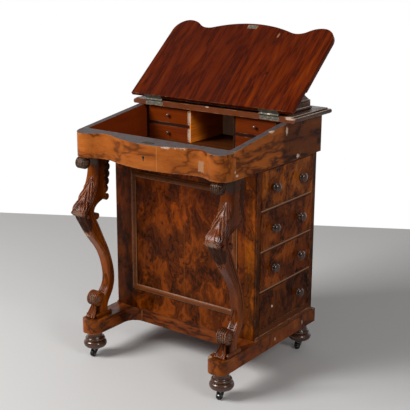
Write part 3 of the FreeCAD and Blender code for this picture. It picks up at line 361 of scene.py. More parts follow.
class Grain(Enum):
    """Way that the grain runs: turn about X in degrees, then the axis along the grain."""

    ACROSS = (0.0, X)
    DEEP = (0.0, Y)
    UPRIGHT = (0.0, Z)
    LID = (-40.15, Y)


class Finish:
    """Base of the finishes, each made into a material once."""

    made: Dict[str, bpy.types.Material] = {}
    name: str

    def build(self) -> bpy.types.Material:
        """Make the node tree."""
        raise NotImplementedError

    def material(self) -> bpy.types.Material:
        """The finish's material, made at its first use."""
        if self.name not in Finish.made:
            Finish.made[self.name] = self.build()
        return Finish.made[self.name]

    def put_on(self, *nodes: str) -> None:
        """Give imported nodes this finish.

        Args:
            nodes: names of the nodes.
        """
        for node in nodes:
            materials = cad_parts[node].data.materials
            materials.clear()
            materials.append(self.material())


@dataclass(frozen=True)
class Patch:
    """Spot of another colour: on some, polish or veneer has gone or been replaced; on others, shade or a highlight is
    painted.

    Attributes:
        center: middle of the spot.
        radii: reach along X, Y and Z.
        tone: its colour.
        ragged: unevenness of its outline.
        square: whether it has straight sides.
    """

    center: Point
    radii: Point
    tone: Colour
    ragged: float
    square: bool = False


@dataclass(frozen=True)
class Seam:
    """Thin line between two sheets of veneer.

    Attributes:
        axis: axis that the line is a plane of.
        at: place on that axis.
        half: half its width.
        tone: its colour.
    """

    axis: Axis
    at: float
    half: float
    tone: Colour


@dataclass(frozen=True)
class Zone:
    """Slab of a board that has another tone: the wood's own on some, painted light or shade on others.

    Attributes:
        axis: axis across the slab.
        low: lower limit on that axis.
        high: upper limit on that axis.
        tone: mean colour there.
        soft: width of the change.
        calm: share of the figure that is left out there.
    """

    axis: Axis
    low: float
    high: float
    tone: Colour
    soft: float = 0.004
    calm: float = 0.0


@dataclass(frozen=True)
class Wood(Finish):
    """Polished wood with a figure, pores, wear and marks, and painted light and shade where asked.

    Attributes:
        name: name of the material.
        dark: colour of the dark lines.
        middle: main colour.
        light: colour of the light stripes.
        grain: way that the grain runs.
        stretch: scale along the grain, as a share of the scale across it.
        figure: cycles of the figure per metre, across the grain.
        rings: dark lines in a cycle of the figure.
        swirl: metres that the figure is bent by.
        fibre: strength of the fine stripes along the grain.
        burr: strength of the burr's eyes.
        veins: strength of the thin dark veins.
        cloud: strength of the broad dark clouds.
        roughness: roughness of the polish.
        gloss: level of the polish's reflection.
        wear: strength of the pale edges.
        wear_reach: metres that the pale edges reach.
        hollow_shade_and_soil: strength of the painted shade, partly grime, in the hollows.
        hollow_shade_and_soil_reach: metres over which a hollow counts.
        rim: colour of the faces that look upwards, if any: worn polish with a painted sheen.
        zones: slabs of another tone, some of them painted light and shade.
        patches: spots of another colour: worn or replaced polish and veneer, painted shade and painted highlights.
        seams: lines between veneers.
    """

    name: str
    dark: Colour
    middle: Colour
    light: Colour
    grain: Grain = Grain.UPRIGHT
    stretch: float = 0.35
    figure: float = 14.0
    rings: float = 5.0
    swirl: float = 0.06
    fibre: float = 0.30
    burr: float = 0.0
    veins: float = 0.0
    cloud: float = 0.35
    roughness: float = 0.34
    gloss: float = 0.22
    wear: float = 0.5
    wear_reach: float = 0.0022
    hollow_shade_and_soil: float = 0.0
    hollow_shade_and_soil_reach: float = 0.014
    rim: Optional[Colour] = None
    zones: Tuple[Zone, ...] = ()
    patches: Tuple[Patch, ...] = ()
    seams: Tuple[Seam, ...] = ()

    def along_grain(self, shader: Shader, at: Feed, stretch: float) -> bpy.types.NodeSocket:
        """Place squeezed along the grain.

        Args:
            shader: tree to build in.
            at: place.
            stretch: scale along the grain.

        Returns:
            The squeezed place.
        """
        turn, axis = self.grain.value
        if turn:
            mapping = shader.node("ShaderNodeMapping")
            mapping.inputs["Rotation"].default_value = (math.radians(turn), 0.0, 0.0)
            shader.feed(mapping.inputs["Vector"], at)
            at = mapping.outputs[0]
        scales = [1.0, 1.0, 1.0]
        scales[axis] = stretch
        return shader.vector("MULTIPLY", at, scales)

    def figured(self, shader: Shader, at: Feed) -> Tuple[bpy.types.NodeSocket, bpy.types.NodeSocket]:
        """Colour of the figure and the pores.

        Args:
            shader: tree to build in.
            at: place.

        Returns:
            The colour, and a height for the relief.
        """
        squeezed = self.along_grain(shader, at, self.stretch)
        bent = squeezed
        for scale, reach in ((self.figure * 0.5, self.swirl), (self.figure * 2.6, self.swirl * 0.25)):
            bend = shader.vector("SUBTRACT", shader.noise(squeezed, scale, 2.0, 0.5, "Color"), (0.5, 0.5, 0.5))
            bent = shader.vector("ADD", bent, shader.vector("MULTIPLY", bend, (reach,) * 3))
        wave = shader.noise(bent, self.figure, 3.0, 0.55)
        lines = shader.math("PINGPONG", shader.math("MULTIPLY", wave, self.rings), 1.0)
        fibres = shader.noise(self.along_grain(shader, bent, 0.16), self.figure * 9.0, 3.0, 0.6)
        fibres = shader.math("MULTIPLY", shader.math("SUBTRACT", fibres, 0.5), self.fibre * 2.6)
        tone = shader.math("ADD", lines, fibres)
        colour = shader.ramp(tone, (
            (0.0, self.dark), (0.10, blended(self.dark, self.middle, 0.5)), (0.26, self.middle),
            (0.66, blended(self.middle, self.light, 0.35)), (1.0, self.light)))
        if self.burr:
            eyes = shader.cells(bent, self.figure * 4.0)
            ring = shader.math("PINGPONG", shader.math("MULTIPLY", eyes, 2.6), 1.0)
            where = shader.span(shader.noise(at, self.figure * 0.8, 2.0), 0.47, 0.60)
            share = shader.math("MULTIPLY", where, shader.math("MULTIPLY", ring, self.burr))
            colour = shader.mix(share, colour, self.dark)
        if self.veins:
            off = shader.math("ABSOLUTE", shader.math("SUBTRACT", shader.noise(bent, self.figure, 3.0, 0.6), 0.5))
            where = shader.span(shader.noise(at, self.figure * 0.6, 2.0), 0.40, 0.56)
            share = shader.math("MULTIPLY", where, shader.span(off, 0.004, 0.030, self.veins, 0.0))
            colour = shader.mix(share, colour, self.dark)
        clouds = shader.span(shader.noise(bent, self.figure * 0.4, 2.0), 0.42, 0.66)
        colour = shader.mix(shader.math("MULTIPLY", clouds, self.cloud), colour,
                            blended(self.dark, self.middle, 0.3))
        pores = shader.span(shader.noise(self.along_grain(shader, at, 0.035), PORES, 2.0), 0.52, 0.70)
        colour = shader.mix(shader.math("MULTIPLY", pores, 0.35), colour, self.dark)
        for zone in self.zones:
            spot = shader.part(at, zone.axis)
            inside = shader.math("MULTIPLY", shader.span(spot, zone.low - zone.soft, zone.low),
                                 shader.span(spot, zone.high, zone.high + zone.soft, 1.0, 0.0))
            figure = shader.mix(zone.calm, shader.vector("DIVIDE", colour, self.middle), (1.0, 1.0, 1.0))
            colour = shader.mix(inside, colour, shader.vector("MULTIPLY", figure, zone.tone))
        for seam in self.seams:
            off = shader.math("ABSOLUTE", shader.math("SUBTRACT", shader.part(at, seam.axis), seam.at))
            colour = shader.mix(shader.span(off, seam.half, seam.half * 1.6, 0.8, 0.0), colour, seam.tone)
        return colour, pores

    def marked(self, shader: Shader, at: Feed, colour: Feed, rough: Feed,
               fray: Feed) -> Tuple[bpy.types.NodeSocket, bpy.types.NodeSocket]:
        """Colour and roughness with the patches: bare spots, painted shade and painted highlights.

        Args:
            shader: tree to build in.
            at: place.
            colour: colour without them.
            rough: roughness without them.
            fray: noise for the spots' outlines.

        Returns:
            The colour and the roughness.
        """
        for patch in self.patches:
            inverse = tuple(1.0 / radius for radius in patch.radii)
            away = shader.vector("MULTIPLY", shader.vector("SUBTRACT", at, patch.center), inverse)
            if patch.square:
                away = shader.vector("ABSOLUTE", away)
                reach = shader.math("MAXIMUM", shader.part(away, X), shader.part(away, Y))
                reach = shader.math("MAXIMUM", reach, shader.part(away, Z))
            else:
                reach = shader.vector("LENGTH", away)
            reach = shader.math("ADD", reach, shader.math("MULTIPLY", fray, patch.ragged * 2.0))
            inside = shader.span(reach, 1.0 + patch.ragged * 0.9, 1.12 + patch.ragged * 0.9, 1.0, 0.0)
            colour = shader.mix(inside, colour, patch.tone)
            rough = shader.math("MAXIMUM", rough, shader.math("MULTIPLY", inside, 0.7))
        return colour, rough

    def build(self) -> bpy.types.Material:
        """Make the node tree of the polished wood."""
        shader = Shader(self.name)
        at = shader.place()
        colour, pores = self.figured(shader, at)
        rough = shader.span(shader.noise(at, POLISH, 4.0, 0.6), 0.3, 0.7, self.roughness - 0.08,
                            self.roughness + 0.14)
        fray = shader.noise(at, FRAYED_OUTLINES, 4.0, 0.7)
        # Painted shade, partly grime, darkening the hollows that ambient occlusion finds
        if self.hollow_shade_and_soil:
            hollow_shade_and_soil_share = shader.math("SUBTRACT", 1.0, shader.hollows(self.hollow_shade_and_soil_reach))
            colour = shader.mix(shader.math("MULTIPLY", hollow_shade_and_soil_share, self.hollow_shade_and_soil), colour, HOLLOW_SHADE_AND_SOIL)
        # Upward faces painted grey: worn polish with a painted sheen, made matte
        if self.rim:
            up = shader.span(shader.part(shader.facing(), Z), 0.80, 0.93)
            streaks = shader.span(shader.noise(at, RIM_STREAKS, 5.0, 0.75), 0.32, 0.60)
            colour = shader.mix(up, colour, shader.mix(streaks, blended(self.rim, self.dark, 0.65), self.rim))
            rough = shader.math("MAXIMUM", rough, shader.math("MULTIPLY", up, 0.55))
        if self.wear:
            edge = shader.span(shader.worn_edge(self.wear_reach), 0.02, 0.22)
            spots = shader.span(shader.noise(at, WORN_SPOTS, 4.0, 0.65), 0.40, 0.66)
            edge = shader.math("MULTIPLY", edge, shader.math("MULTIPLY", spots, self.wear))
            colour = shader.mix(edge, colour, PALE_WOOD)
        colour, rough = self.marked(shader, at, colour, rough, fray)
        relief = shader.bump(shader.math("SUBTRACT", 1.0, pores), PORE_DEPTH, 0.5)
        return shader.surface(colour, rough, relief, Specular_IOR_Level=self.gloss)


@dataclass(frozen=True)
class Metal(Finish):
    """Old metal with tarnish.

    Attributes:
        name: name of the material.
        bright: colour where it is rubbed.
        tarnish: colour elsewhere.
        bare: share that is rubbed.
        metallic: how metallic it is.
        roughness: mean roughness.
    """

    name: str
    bright: Colour
    tarnish: Colour
    bare: float = 0.4
    metallic: float = 0.85
    roughness: float = 0.42

    def build(self) -> bpy.types.Material:
        """Make the node tree of the old metal."""
        shader = Shader(self.name)
        at = shader.place()
        spots = shader.noise(at, TARNISH, 4.0, 0.65)
        middle = 0.62 - 0.3 * self.bare
        rubbed = shader.span(spots, middle - 0.1, middle + 0.1)
        edge = shader.span(shader.worn_edge(0.001), 0.02, 0.2)
        rubbed = shader.math("MAXIMUM", rubbed, edge)
        colour = shader.mix(rubbed, self.tarnish, self.bright)
        rough = shader.span(rubbed, 0.0, 1.0, self.roughness + 0.18, self.roughness - 0.1)
        relief = shader.bump(shader.noise(at, PITS, 3.0), PIT_DEPTH, 0.4)
        return shader.surface(colour, rough, relief, Metallic=self.metallic)


@dataclass(frozen=True)
class Leather(Finish):
    """Writing leather with a pebbled grain and rubbed places.

    Attributes:
        name: name of the material.
        colour: main colour.
        rubbed: colour of the rubbed places.
    """

    name: str
    colour: Colour
    rubbed: Colour

    def build(self) -> bpy.types.Material:
        """Make the node tree of the leather."""
        shader = Shader(self.name)
        at = shader.place()
        worn = shader.span(shader.noise(at, RUBBED_LEATHER, 5.0, 0.6), 0.42, 0.68)
        colour = shader.mix(worn, self.colour, self.rubbed)
        pebbles = shader.cells(at, PEBBLES)
        rough = shader.span(worn, 0.0, 1.0, 0.52, 0.7)
        return shader.surface(colour, rough, shader.bump(pebbles, PEBBLE_DEPTH, 0.7))


def blended(a: Colour, b: Colour, share: float) -> Colour:
    """Colour between two, by the share of the second."""
    return tuple(p + (q - p) * share for p, q in zip(a, b))


# Meshes

class MeshPiece:
    """Mesh gathered from closed forms, then placed on a body as one piece."""

    def __init__(self, name: str) -> None:
        """Start an empty piece.

        Args:
            name: name of the piece.
        """
        self.name = name
        self.points: List[Point] = []
        self.faces: List[Tuple[int, ...]] = []

    def add(self, points: Iterable[Point], faces: Iterable[Sequence[int]]) -> None:
        """Add a closed form.

        Args:
            points: its points.
            faces: its faces, counted from its own first point.
        """
        first = len(self.points)
        self.points.extend(tuple(point) for point in points)
        self.faces.extend(tuple(first + index for index in face) for face in faces)

    def grid(self, rows: Sequence[Sequence[Point]], back: Sequence[Sequence[Point]]) -> None:
        """Add a closed shell between a front grid and a back grid of the same shape.

        Args:
            rows: front points, row by row.
            back: back points, row by row.
        """
        high, wide = len(rows), len(rows[0])
        points = [point for row in rows for point in row] + [point for row in back for point in row]
        offset = high * wide
        faces: List[Sequence[int]] = []
        for i in range(high - 1):
            for j in range(wide - 1):
                a, b = i * wide + j, i * wide + j + 1
                faces.append((a, b, b + wide, a + wide))
                faces.append((offset + a, offset + a + wide, offset + b + wide, offset + b))
        rim = [(0, j) for j in range(wide)] + [(i, wide - 1) for i in range(1, high)]
        rim += [(high - 1, j) for j in range(wide - 2, -1, -1)] + [(i, 0) for i in range(high - 2, 0, -1)]
        for (i, j), (k, m) in zip(rim, rim[1:] + rim[:1]):
            a, b = i * wide + j, k * wide + m
            faces.append((b, a, offset + a, offset + b))
        self.add(points, faces)

    def skin(self, points: Sequence[Point], rings: int, sides: int) -> None:
        """Add a skin over a row of rings, closed at both ends.

        Args:
            points: points, ring by ring.
            rings: number of rings.
            sides: points in a ring.
        """
        faces: List[Sequence[int]] = []
        for first in range(0, (rings - 1) * sides, sides):
            for side in range(sides):
                a, b = first + side, first + (side + 1) % sides
                faces.append((a, b, b + sides, a + sides))
        faces.append(tuple(range(sides - 1, -1, -1)))
        last = (rings - 1) * sides
        faces.append(tuple(range(last, last + sides)))
        self.add(points, faces)

    def rope(self, path: Sequence[Vector], radii: Sequence[float], sides: int = 8) -> None:
        """Add a round ridge along a path, closed at its ends.

        Args:
            path: points of its middle line.
            radii: radius at each point.
            sides: faces round it.
        """
        points: List[Point] = []
        across = Vector((0.0, 0.0, 0.0))
        for index, middle in enumerate(path):
            before, after = path[max(index - 1, 0)], path[min(index + 1, len(path) - 1)]
            way = (after - before).normalized()
            if across.length < 0.5:
                across = way.orthogonal().normalized()
            across = (across - way * across.dot(way)).normalized()
            up = way.cross(across)
            for side in range(sides):
                angle = 2.0 * math.pi * side / sides
                points.append(middle + (across * math.cos(angle) + up * math.sin(angle)) * radii[index])
        self.skin(points, len(path), sides)

    def lathe(self, base: Vector, axis: Vector, profile: Sequence[Tuple[float, float]], sides: int = 20) -> None:
        """Add a turned form.

        Args:
            base: start of its axis.
            axis: direction of its axis.
            profile: radius and length from the foot to the tip.
            sides: faces round it.
        """
        across = axis.orthogonal().normalized()
        up = axis.normalized().cross(across)
        points: List[Point] = []
        for radius, length in profile:
            for side in range(sides):
                angle = 2.0 * math.pi * side / sides
                out = across * math.cos(angle) + up * math.sin(angle)
                points.append(base + axis.normalized() * length + out * radius)
        self.skin(points, len(profile), sides)

    def mirrored(self, name: str) -> "MeshPiece":
        """The same piece on the other side of the desk.

        Args:
            name: name of the new piece.

        Returns:
            The mirrored piece.
        """
        other = MeshPiece(name)
        other.add([(-x, y, z) for x, y, z in self.points], [tuple(reversed(face)) for face in self.faces])
        return other

    def place(self, body: str, slot: str, finish: Finish) -> None:
        """Make the object and let it ride on a body.

        Args:
            body: name of the body.
            slot: the record's slot that the finish belongs to; not used.
            finish: finish of the piece.
        """
        mesh = bpy.data.meshes.new(self.name)
        mesh.from_pydata([tuple(point) for point in self.points], [], self.faces)
        form = bmesh.new()
        form.from_mesh(mesh)
        bmesh.ops.recalc_face_normals(form, faces=form.faces)
        for face in form.faces:
            face.smooth = True
        form.to_mesh(mesh)
        form.free()
        mesh.materials.append(finish.material())
        piece = bpy.data.objects.new(self.name, mesh)
        bpy.context.scene.collection.objects.link(piece)
        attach(piece, body)
        LOG.info("piece %s: %d faces on %s", self.name, len(mesh.polygons), body)


def even_shares(steps: int) -> List[float]:
    """Even shares from 0 to 1, with both ends."""
    return [index / steps for index in range(steps + 1)]


def between(ends: Tuple[float, float], share: float) -> float:
    """Number at a share of the way from one end to the other."""
    return ends[0] + (ends[1] - ends[0]) * share


def smooth_table(table: Table) -> Callable[[float], float]:
    """Smooth curve through a table.

    Args:
        table: places in falling or rising order, and values.

    Returns:
        Function that gives the value at a place.
    """
    rows = sorted(table)
    slopes: List[float] = []
    for index in range(len(rows)):
        low, high = rows[max(index - 1, 0)], rows[min(index + 1, len(rows) - 1)]
        slopes.append((high[1] - low[1]) / (high[0] - low[0]))

    def value(place: float) -> float:
        """Value at a place, held at the ends."""
        if place <= rows[0][0]:
            return rows[0][1]
        for index in range(len(rows) - 1):
            (x0, y0), (x1, y1) = rows[index], rows[index + 1]
            if place <= x1:
                step = x1 - x0
                t = (place - x0) / step
                return ((1 + 2 * t) * (1 - t) ** 2 * y0 + t * (1 - t) ** 2 * step * slopes[index]
                        + t * t * (3 - 2 * t) * y1 + t * t * (t - 1) * step * slopes[index + 1])
        return rows[-1][1]
    return value


# Finishes of the desk

RED_WOOD: Colour = (0.240, 0.034, 0.004)
CHIP: Colour = (0.52, 0.36, 0.26)
# Pale of rubbed wear with a painted highlight
SCUFF_AND_GLINT_TONE: Colour = (0.175, 0.100, 0.065)
# Painted shade, partly grime, on the legs
SHADE_AND_SOIL_TONE: Colour = (0.040, 0.009, 0.001)
SHADED: Colour = (0.020, 0.004, 0.001)
RAIL_LINE: Colour = (0.34, 0.21, 0.13)
# Dark, middle and light tones
WALNUT: Tuple[Colour, ...] = ((0.040, 0.009, 0.002), (0.160, 0.032, 0.003), (0.32, 0.080, 0.010))
AMBER: Tuple[Colour, ...] = ((0.070, 0.016, 0.003), (0.38, 0.096, 0.012), (0.62, 0.200, 0.035))
BARE_WOOD: Tuple[Colour, ...] = ((0.14, 0.070, 0.028), (0.36, 0.205, 0.095), (0.48, 0.30, 0.16))
SIDES = (-1.0, 1.0)
LEG_X = 0.248
RAIL_TOPS = (0.28125, 0.4045, 0.52775)
RAIL_LINE_HEIGHT = 0.0040
# Forward place, height, depth and tallness of the places on each leg painted dark, as painted shade partly grime, and
# painted pale, as rubbed wear partly painted highlight
LEG_SHADE_AND_SOIL = ((-0.174, 0.588, 0.017, 0.062), (-0.270, 0.438, 0.026, 0.036))
LEG_SCUFFS_AND_GLINTS = ((-0.287, 0.478, 0.010, 0.012), (-0.230, 0.190, 0.020, 0.018))

BOX_FRONT = Wood(
    "box_front_walnut", (0.095, 0.023, 0.004), *AMBER[1:], Grain.ACROSS, stretch=0.30, figure=13.0, rings=4.0,
    swirl=0.10, veins=0.75, cloud=0.50, gloss=0.10, wear=0.8, wear_reach=0.003, rim=WORN_GREY_AND_SHEEN,
    seams=(Seam(X, 0.0456, 0.0004, (0.45, 0.22, 0.09)),),
    patches=(
        Patch((0.181, -0.262, 0.6796), (0.0100, 0.03, 0.0150), (0.33, 0.165, 0.085), 0.55, True),
        Patch((0.143, -0.270, 0.7240), (0.046, 0.018, 0.0062), CHIP, 1.1),
        Patch((0.079, -0.274, 0.7225), (0.020, 0.012, 0.0044), CHIP, 1.1),
        Patch((0.272, -0.222, 0.6740), (0.01, 0.006, 0.004), CHIP, 1.0),
        Patch((0.005, -0.2574, 0.7252), (0.022, 0.007, 0.004), (0.018, 0.014, 0.012), 0.3),
    ))
BOX_SIDE = Wood(
    "box_side_walnut", *AMBER, Grain.DEEP, stretch=0.30, figure=13.0, rings=4.0, swirl=0.10, veins=0.7, cloud=0.45,
    gloss=0.06, wear=0.8, rim=WORN_GREY_AND_SHEEN,
    zones=(Zone(Y, 0.035, 1.0, (0.115, 0.026, 0.003), 0.03), Zone(X, -0.268, 0.268, RED_WOOD, 0.004, 0.75)),
    patches=(
        Patch((0.278, -0.040, 0.7547), (0.01, 0.011, 0.0040), CHIP, 1.1),
        Patch((0.278, 0.0386, 0.745), (0.01, 0.006, 0.013), CHIP, 1.2),
        Patch((0.278, 0.105, 0.6600), (0.01, 0.009, 0.006), CHIP, 1.2),
        Patch((0.278, -0.214, 0.6624), (0.01, 0.006, 0.004), CHIP, 1.1),
    ))
PANEL = Wood(
    "burr_walnut_panel", (0.020, 0.004, 0.0), (0.090, 0.0155, 0.0), (0.215, 0.042, 0.002), Grain.UPRIGHT,
    stretch=0.68, figure=19.0, rings=5.0, swirl=0.10, fibre=0.35, burr=0.50, veins=0.7, cloud=0.30, gloss=0.08,
    wear=0.4,
    # The first zone paints the upper part of the panels lighter: painted light lifting the shade under the box
    zones=(Zone(Z, 0.50, 1.0, (0.128, 0.0195, 0.0), 0.10), Zone(X, -0.30, -0.2085, (0.036, 0.006, 0.001)),
           Zone(X, 0.2285, 0.2560, (0.130, 0.027, 0.001)), Zone(X, 0.2620, 1.0, (0.045, 0.009, 0.001))),
    seams=(Seam(X, 0.0054, 0.0006, (0.16, 0.045, 0.010)),))
SIDE_BOARDS = Wood("side_walnut", *WALNUT, Grain.UPRIGHT, figure=12.0, rings=4.0, swirl=0.09, cloud=0.35,
                   gloss=0.10, wear=0.6)
# The inner face of the back is pale bare wood, brightened with painted light as if lit through the pigeonholes
CARCASE = replace(SIDE_BOARDS, name="carcase_walnut", zones=(Zone(Y, -1.0, 0.235, (0.88, 0.62, 0.38), 0.004, 0.85),))
MOULDING = Wood("moulding_walnut", (0.024, 0.005, 0.001), (0.075, 0.016, 0.002), (0.16, 0.042, 0.007), Grain.ACROSS,
                stretch=0.2, figure=16.0, rings=2.0, swirl=0.04, cloud=0.25, roughness=0.28, gloss=0.14, wear=0.5)
MOULDING_LINE = Wood("moulding_line", (0.06, 0.022, 0.008), (0.20, 0.085, 0.034), (0.32, 0.17, 0.08), Grain.UPRIGHT,
                     stretch=0.2, figure=30.0, rings=2.0, swirl=0.03, cloud=0.5, gloss=0.2, wear=0.0)
RAILS = Wood("drawer_rails", *BARE_WOOD, Grain.DEEP, stretch=0.10, figure=20.0, rings=3.0, swirl=0.03, cloud=0.25,
             roughness=0.5, gloss=0.10, wear=0.4,
             zones=(Zone(X, 0.250, 1.0, (0.085, 0.019, 0.003)),)
             + tuple(Zone(Z, rail - RAIL_LINE_HEIGHT, rail, RAIL_LINE, 0.0008, 0.7) for rail in RAIL_TOPS))
DRAWERS = Wood("drawer_walnut", (0.018, 0.004, 0.001), (0.165, 0.035, 0.003), (0.36, 0.092, 0.010), Grain.UPRIGHT,
               stretch=0.68, figure=18.0, rings=5.0, swirl=0.10, fibre=0.35, burr=0.45, veins=0.7, cloud=0.30,
               gloss=0.06, wear=0.9,
               # Lower drawers painted darker towards the bottom: darker veneer, with painted shade where the light
               # falls off downwards
               zones=(Zone(Z, 0.276, 0.523, (0.130, 0.024, 0.002)), Zone(Z, 0.0, 0.275, (0.074, 0.014, 0.001))))
PLINTH = Wood("plinth_walnut", *WALNUT, Grain.ACROSS, stretch=0.40, figure=14.0, rings=4.0, swirl=0.09, cloud=0.35,
              gloss=0.12, wear=0.12,
              patches=(Patch((0.274, 0.009, 0.1068), (0.01, 0.0032, 0.006), CHIP, 0.9),
                       Patch((0.274, 0.1694, 0.108), (0.01, 0.0028, 0.007), CHIP, 0.9)))
PLINTH_ARMS = replace(PLINTH, name="plinth_arm_walnut", grain=Grain.DEEP, wear=0.25,
                      zones=(Zone(Y, -1.0, -0.205, (0.230, 0.052, 0.005), 0.05),),
                      patches=(Patch((0.2125, -0.255, 0.130), (0.012, 0.012, 0.010), (0.36, 0.23, 0.14), 0.5),
                               Patch((-0.116, -0.0886, 0.130), (0.05, 0.006, 0.005), CHIP, 0.9)))
CARVING = Wood("carved_walnut", (0.026, 0.005, 0.0), (0.118, 0.0205, 0.0), (0.27, 0.060, 0.002), Grain.UPRIGHT,
               stretch=0.10, figure=16.0, rings=3.0, swirl=0.04, cloud=0.45, roughness=0.15, gloss=0.18, wear=0.12,
               # Painted shade, partly grime, in the carving's hollows; the top of the legs under the box painted dark
               # as its shadow, partly grime
               hollow_shade_and_soil=1.0, hollow_shade_and_soil_reach=0.030, zones=(Zone(Z, 0.622, 1.0, (0.055, 0.012, 0.002), 0.02),),
               # Painted shade, partly grime, on the scalloped back of the stem and under the knee
               patches=tuple(Patch((side * LEG_X, forward, height), (0.05, deep, tall), SHADE_AND_SOIL_TONE, 0.4)
                             for side in SIDES for forward, height, deep, tall in LEG_SHADE_AND_SOIL)
               # Pale grey on the top scrolls and pale at the knee's tip: worn polish with a painted highlight
               + (Patch((-LEG_X, -0.2650, 0.631), (0.024, 0.0160, 0.020), (0.135, 0.080, 0.055), 1.4),
                  Patch((LEG_X, -0.2680, 0.629), (0.020, 0.0120, 0.016), (0.085, 0.045, 0.028), 1.5),
                  Patch((-0.256, -0.2400, 0.401), (0.018, 0.0100, 0.008), (0.33, 0.23, 0.155), 1.2))
               # Pale on the knee's tips and the foot scrolls: rubbed wear with a painted highlight
               + tuple(Patch((side * LEG_X, forward, height), (0.026, deep, tall), SCUFF_AND_GLINT_TONE, 2.0)
                       for side in SIDES for forward, height, deep, tall in LEG_SCUFFS_AND_GLINTS))
TURNED = Wood("turned_walnut", (0.010, 0.003, 0.001), (0.030, 0.010, 0.004), (0.075, 0.028, 0.012), Grain.UPRIGHT,
              stretch=0.15, figure=18.0, rings=2.0, swirl=0.03, cloud=0.25, roughness=0.09, gloss=0.60, wear=0.25,
              # Painted shade, partly grime, in the hollows of the feet and knobs
              hollow_shade_and_soil=0.7,
              patches=(Patch((0.2668, -0.0015, 0.2156), (0.0062, 0.0062, 0.0062), (0.66, 0.46, 0.32), 0.1),))
TOP = Wood("top_walnut", (0.014, 0.004, 0.001), (0.046, 0.012, 0.003), (0.090, 0.026, 0.006), Grain.ACROSS,
           stretch=0.12, figure=14.0, rings=3.0, swirl=0.04, cloud=0.3, gloss=0.40, wear=1.0, wear_reach=0.003,
           zones=(Zone(Y, -1.0, 0.0425, (0.118, 0.024, 0.003)),),
           patches=(Patch((0.288, 0.042, 0.782), (0.020, 0.012, 0.006), CHIP, 1.0),
                    Patch((-0.008, 0.040, 0.7850), (0.007, 0.004, 0.003), CHIP, 0.7)))
MAHOGANY = Wood("lid_mahogany", (0.034, 0.003, 0.0), (0.080, 0.008, 0.0), (0.150, 0.021, 0.0), Grain.LID,
                stretch=0.11, figure=34.0, rings=4.0, swirl=0.035, fibre=0.5, cloud=0.30, roughness=0.40,
                gloss=0.05, wear=0.7, zones=(Zone(X, 0.16, 1.0, (0.102, 0.011, 0.0), 0.12),),
                patches=(Patch((0.110, 0.250, 0.990), (0.0035, 0.011, 0.010), (0.24, 0.10, 0.045), 0.7),
                         Patch((0.146, 0.132, 0.890), (0.006, 0.006, 0.006), (0.034, 0.005, 0.001), 1.0)))
SMALL_DRAWERS = Wood("small_drawer_mahogany", (0.040, 0.005, 0.0), (0.098, 0.010, 0.0), (0.16, 0.024, 0.001),
                     Grain.ACROSS, stretch=0.06, figure=24.0, rings=2.0, swirl=0.03, cloud=0.2, roughness=0.4,
                     gloss=0.08, wear=0.5,
                     patches=(Patch((-0.0905, 0.055, 0.7405), (0.0024, 0.003, 0.024), CHIP, 0.9),
                              Patch((-0.0905, 0.055, 0.6850), (0.0024, 0.003, 0.022), CHIP, 0.9)))
INSIDE = Wood("inside_boards", (0.070, 0.015, 0.002), (0.200, 0.050, 0.007), (0.32, 0.095, 0.016), Grain.DEEP,
              stretch=0.08, figure=20.0, rings=2.0, swirl=0.03, cloud=0.3, roughness=0.5, gloss=0.08, wear=0.4,
              zones=(Zone(X, -0.30, -0.0885, SHADED), Zone(X, 0.0780, 0.30, SHADED),
                     # The left pigeonhole's wall painted bright amber: painted light where light falls on it
                     Zone(X, -0.0830, -0.0700, (0.75, 0.170, 0.010), 0.001),
                     # Darker deeper in: painted shade, partly grime
                     Zone(Y, 0.135, 1.0, (0.110, 0.024, 0.003), 0.06)),
              patches=(Patch((-0.085, 0.055, 0.7405), (0.0036, 0.003, 0.024), CHIP, 0.8),
                       Patch((-0.085, 0.055, 0.6850), (0.0036, 0.003, 0.022), CHIP, 0.8)))
BOTTOM = Wood("box_bottom_mahogany", (0.018, 0.004, 0.001), (0.052, 0.011, 0.002), (0.090, 0.022, 0.004), Grain.ACROSS,
              stretch=0.08, figure=18.0, rings=2.0, swirl=0.03, cloud=0.3, roughness=0.5, gloss=0.08, wear=0.3)
LINING = Wood("drawer_lining", *BARE_WOOD, Grain.ACROSS, stretch=0.05, figure=22.0, rings=3.0, swirl=0.03,
              cloud=0.25, roughness=0.6, gloss=0.1, wear=0.3)
LEATHER = Leather("writing_leather", (0.085, 0.016, 0.008), (0.15, 0.045, 0.022))
BRASS = Metal("old_brass", (0.42, 0.38, 0.29), (0.135, 0.128, 0.100), bare=0.10, metallic=0.7, roughness=0.55)
DARK_BRASS = Metal("keyhole_brass", (0.16, 0.12, 0.06), (0.030, 0.024, 0.015), bare=0.10, metallic=0.7,
                   roughness=0.5)
# Pale arris lines: worn edges with a painted highlight
SCUFFED_GLINTING_ARRIS = Wood("scuffed_glinting_arris", (0.12, 0.07, 0.04), (0.50, 0.36, 0.26), (0.66, 0.52, 0.42), Grain.DEEP, stretch=0.2,
                 figure=40.0, rings=3.0, swirl=0.02, cloud=0.5, roughness=0.4, gloss=0.3, wear=0.0)
SMALL_KNOBS = Wood("small_knobs", (0.020, 0.006, 0.002), (0.070, 0.020, 0.007), (0.13, 0.045, 0.018), Grain.DEEP,
                   stretch=0.2, figure=30.0, rings=2.0, swirl=0.02, cloud=0.2, roughness=0.12, gloss=0.8, wear=0.0)
LID_EDGE = Wood("lid_edge_walnut", (0.012, 0.003, 0.001), (0.045, 0.011, 0.002), (0.090, 0.024, 0.005), Grain.LID,
                stretch=0.10, figure=16.0, rings=3.0, swirl=0.03, cloud=0.3, gloss=0.08, wear=0.8)
IRON = Metal("castor_iron", (0.26, 0.25, 0.24), (0.020, 0.019, 0.018), bare=0.12, metallic=0.85, roughness=0.36)


# Sub-assemblies

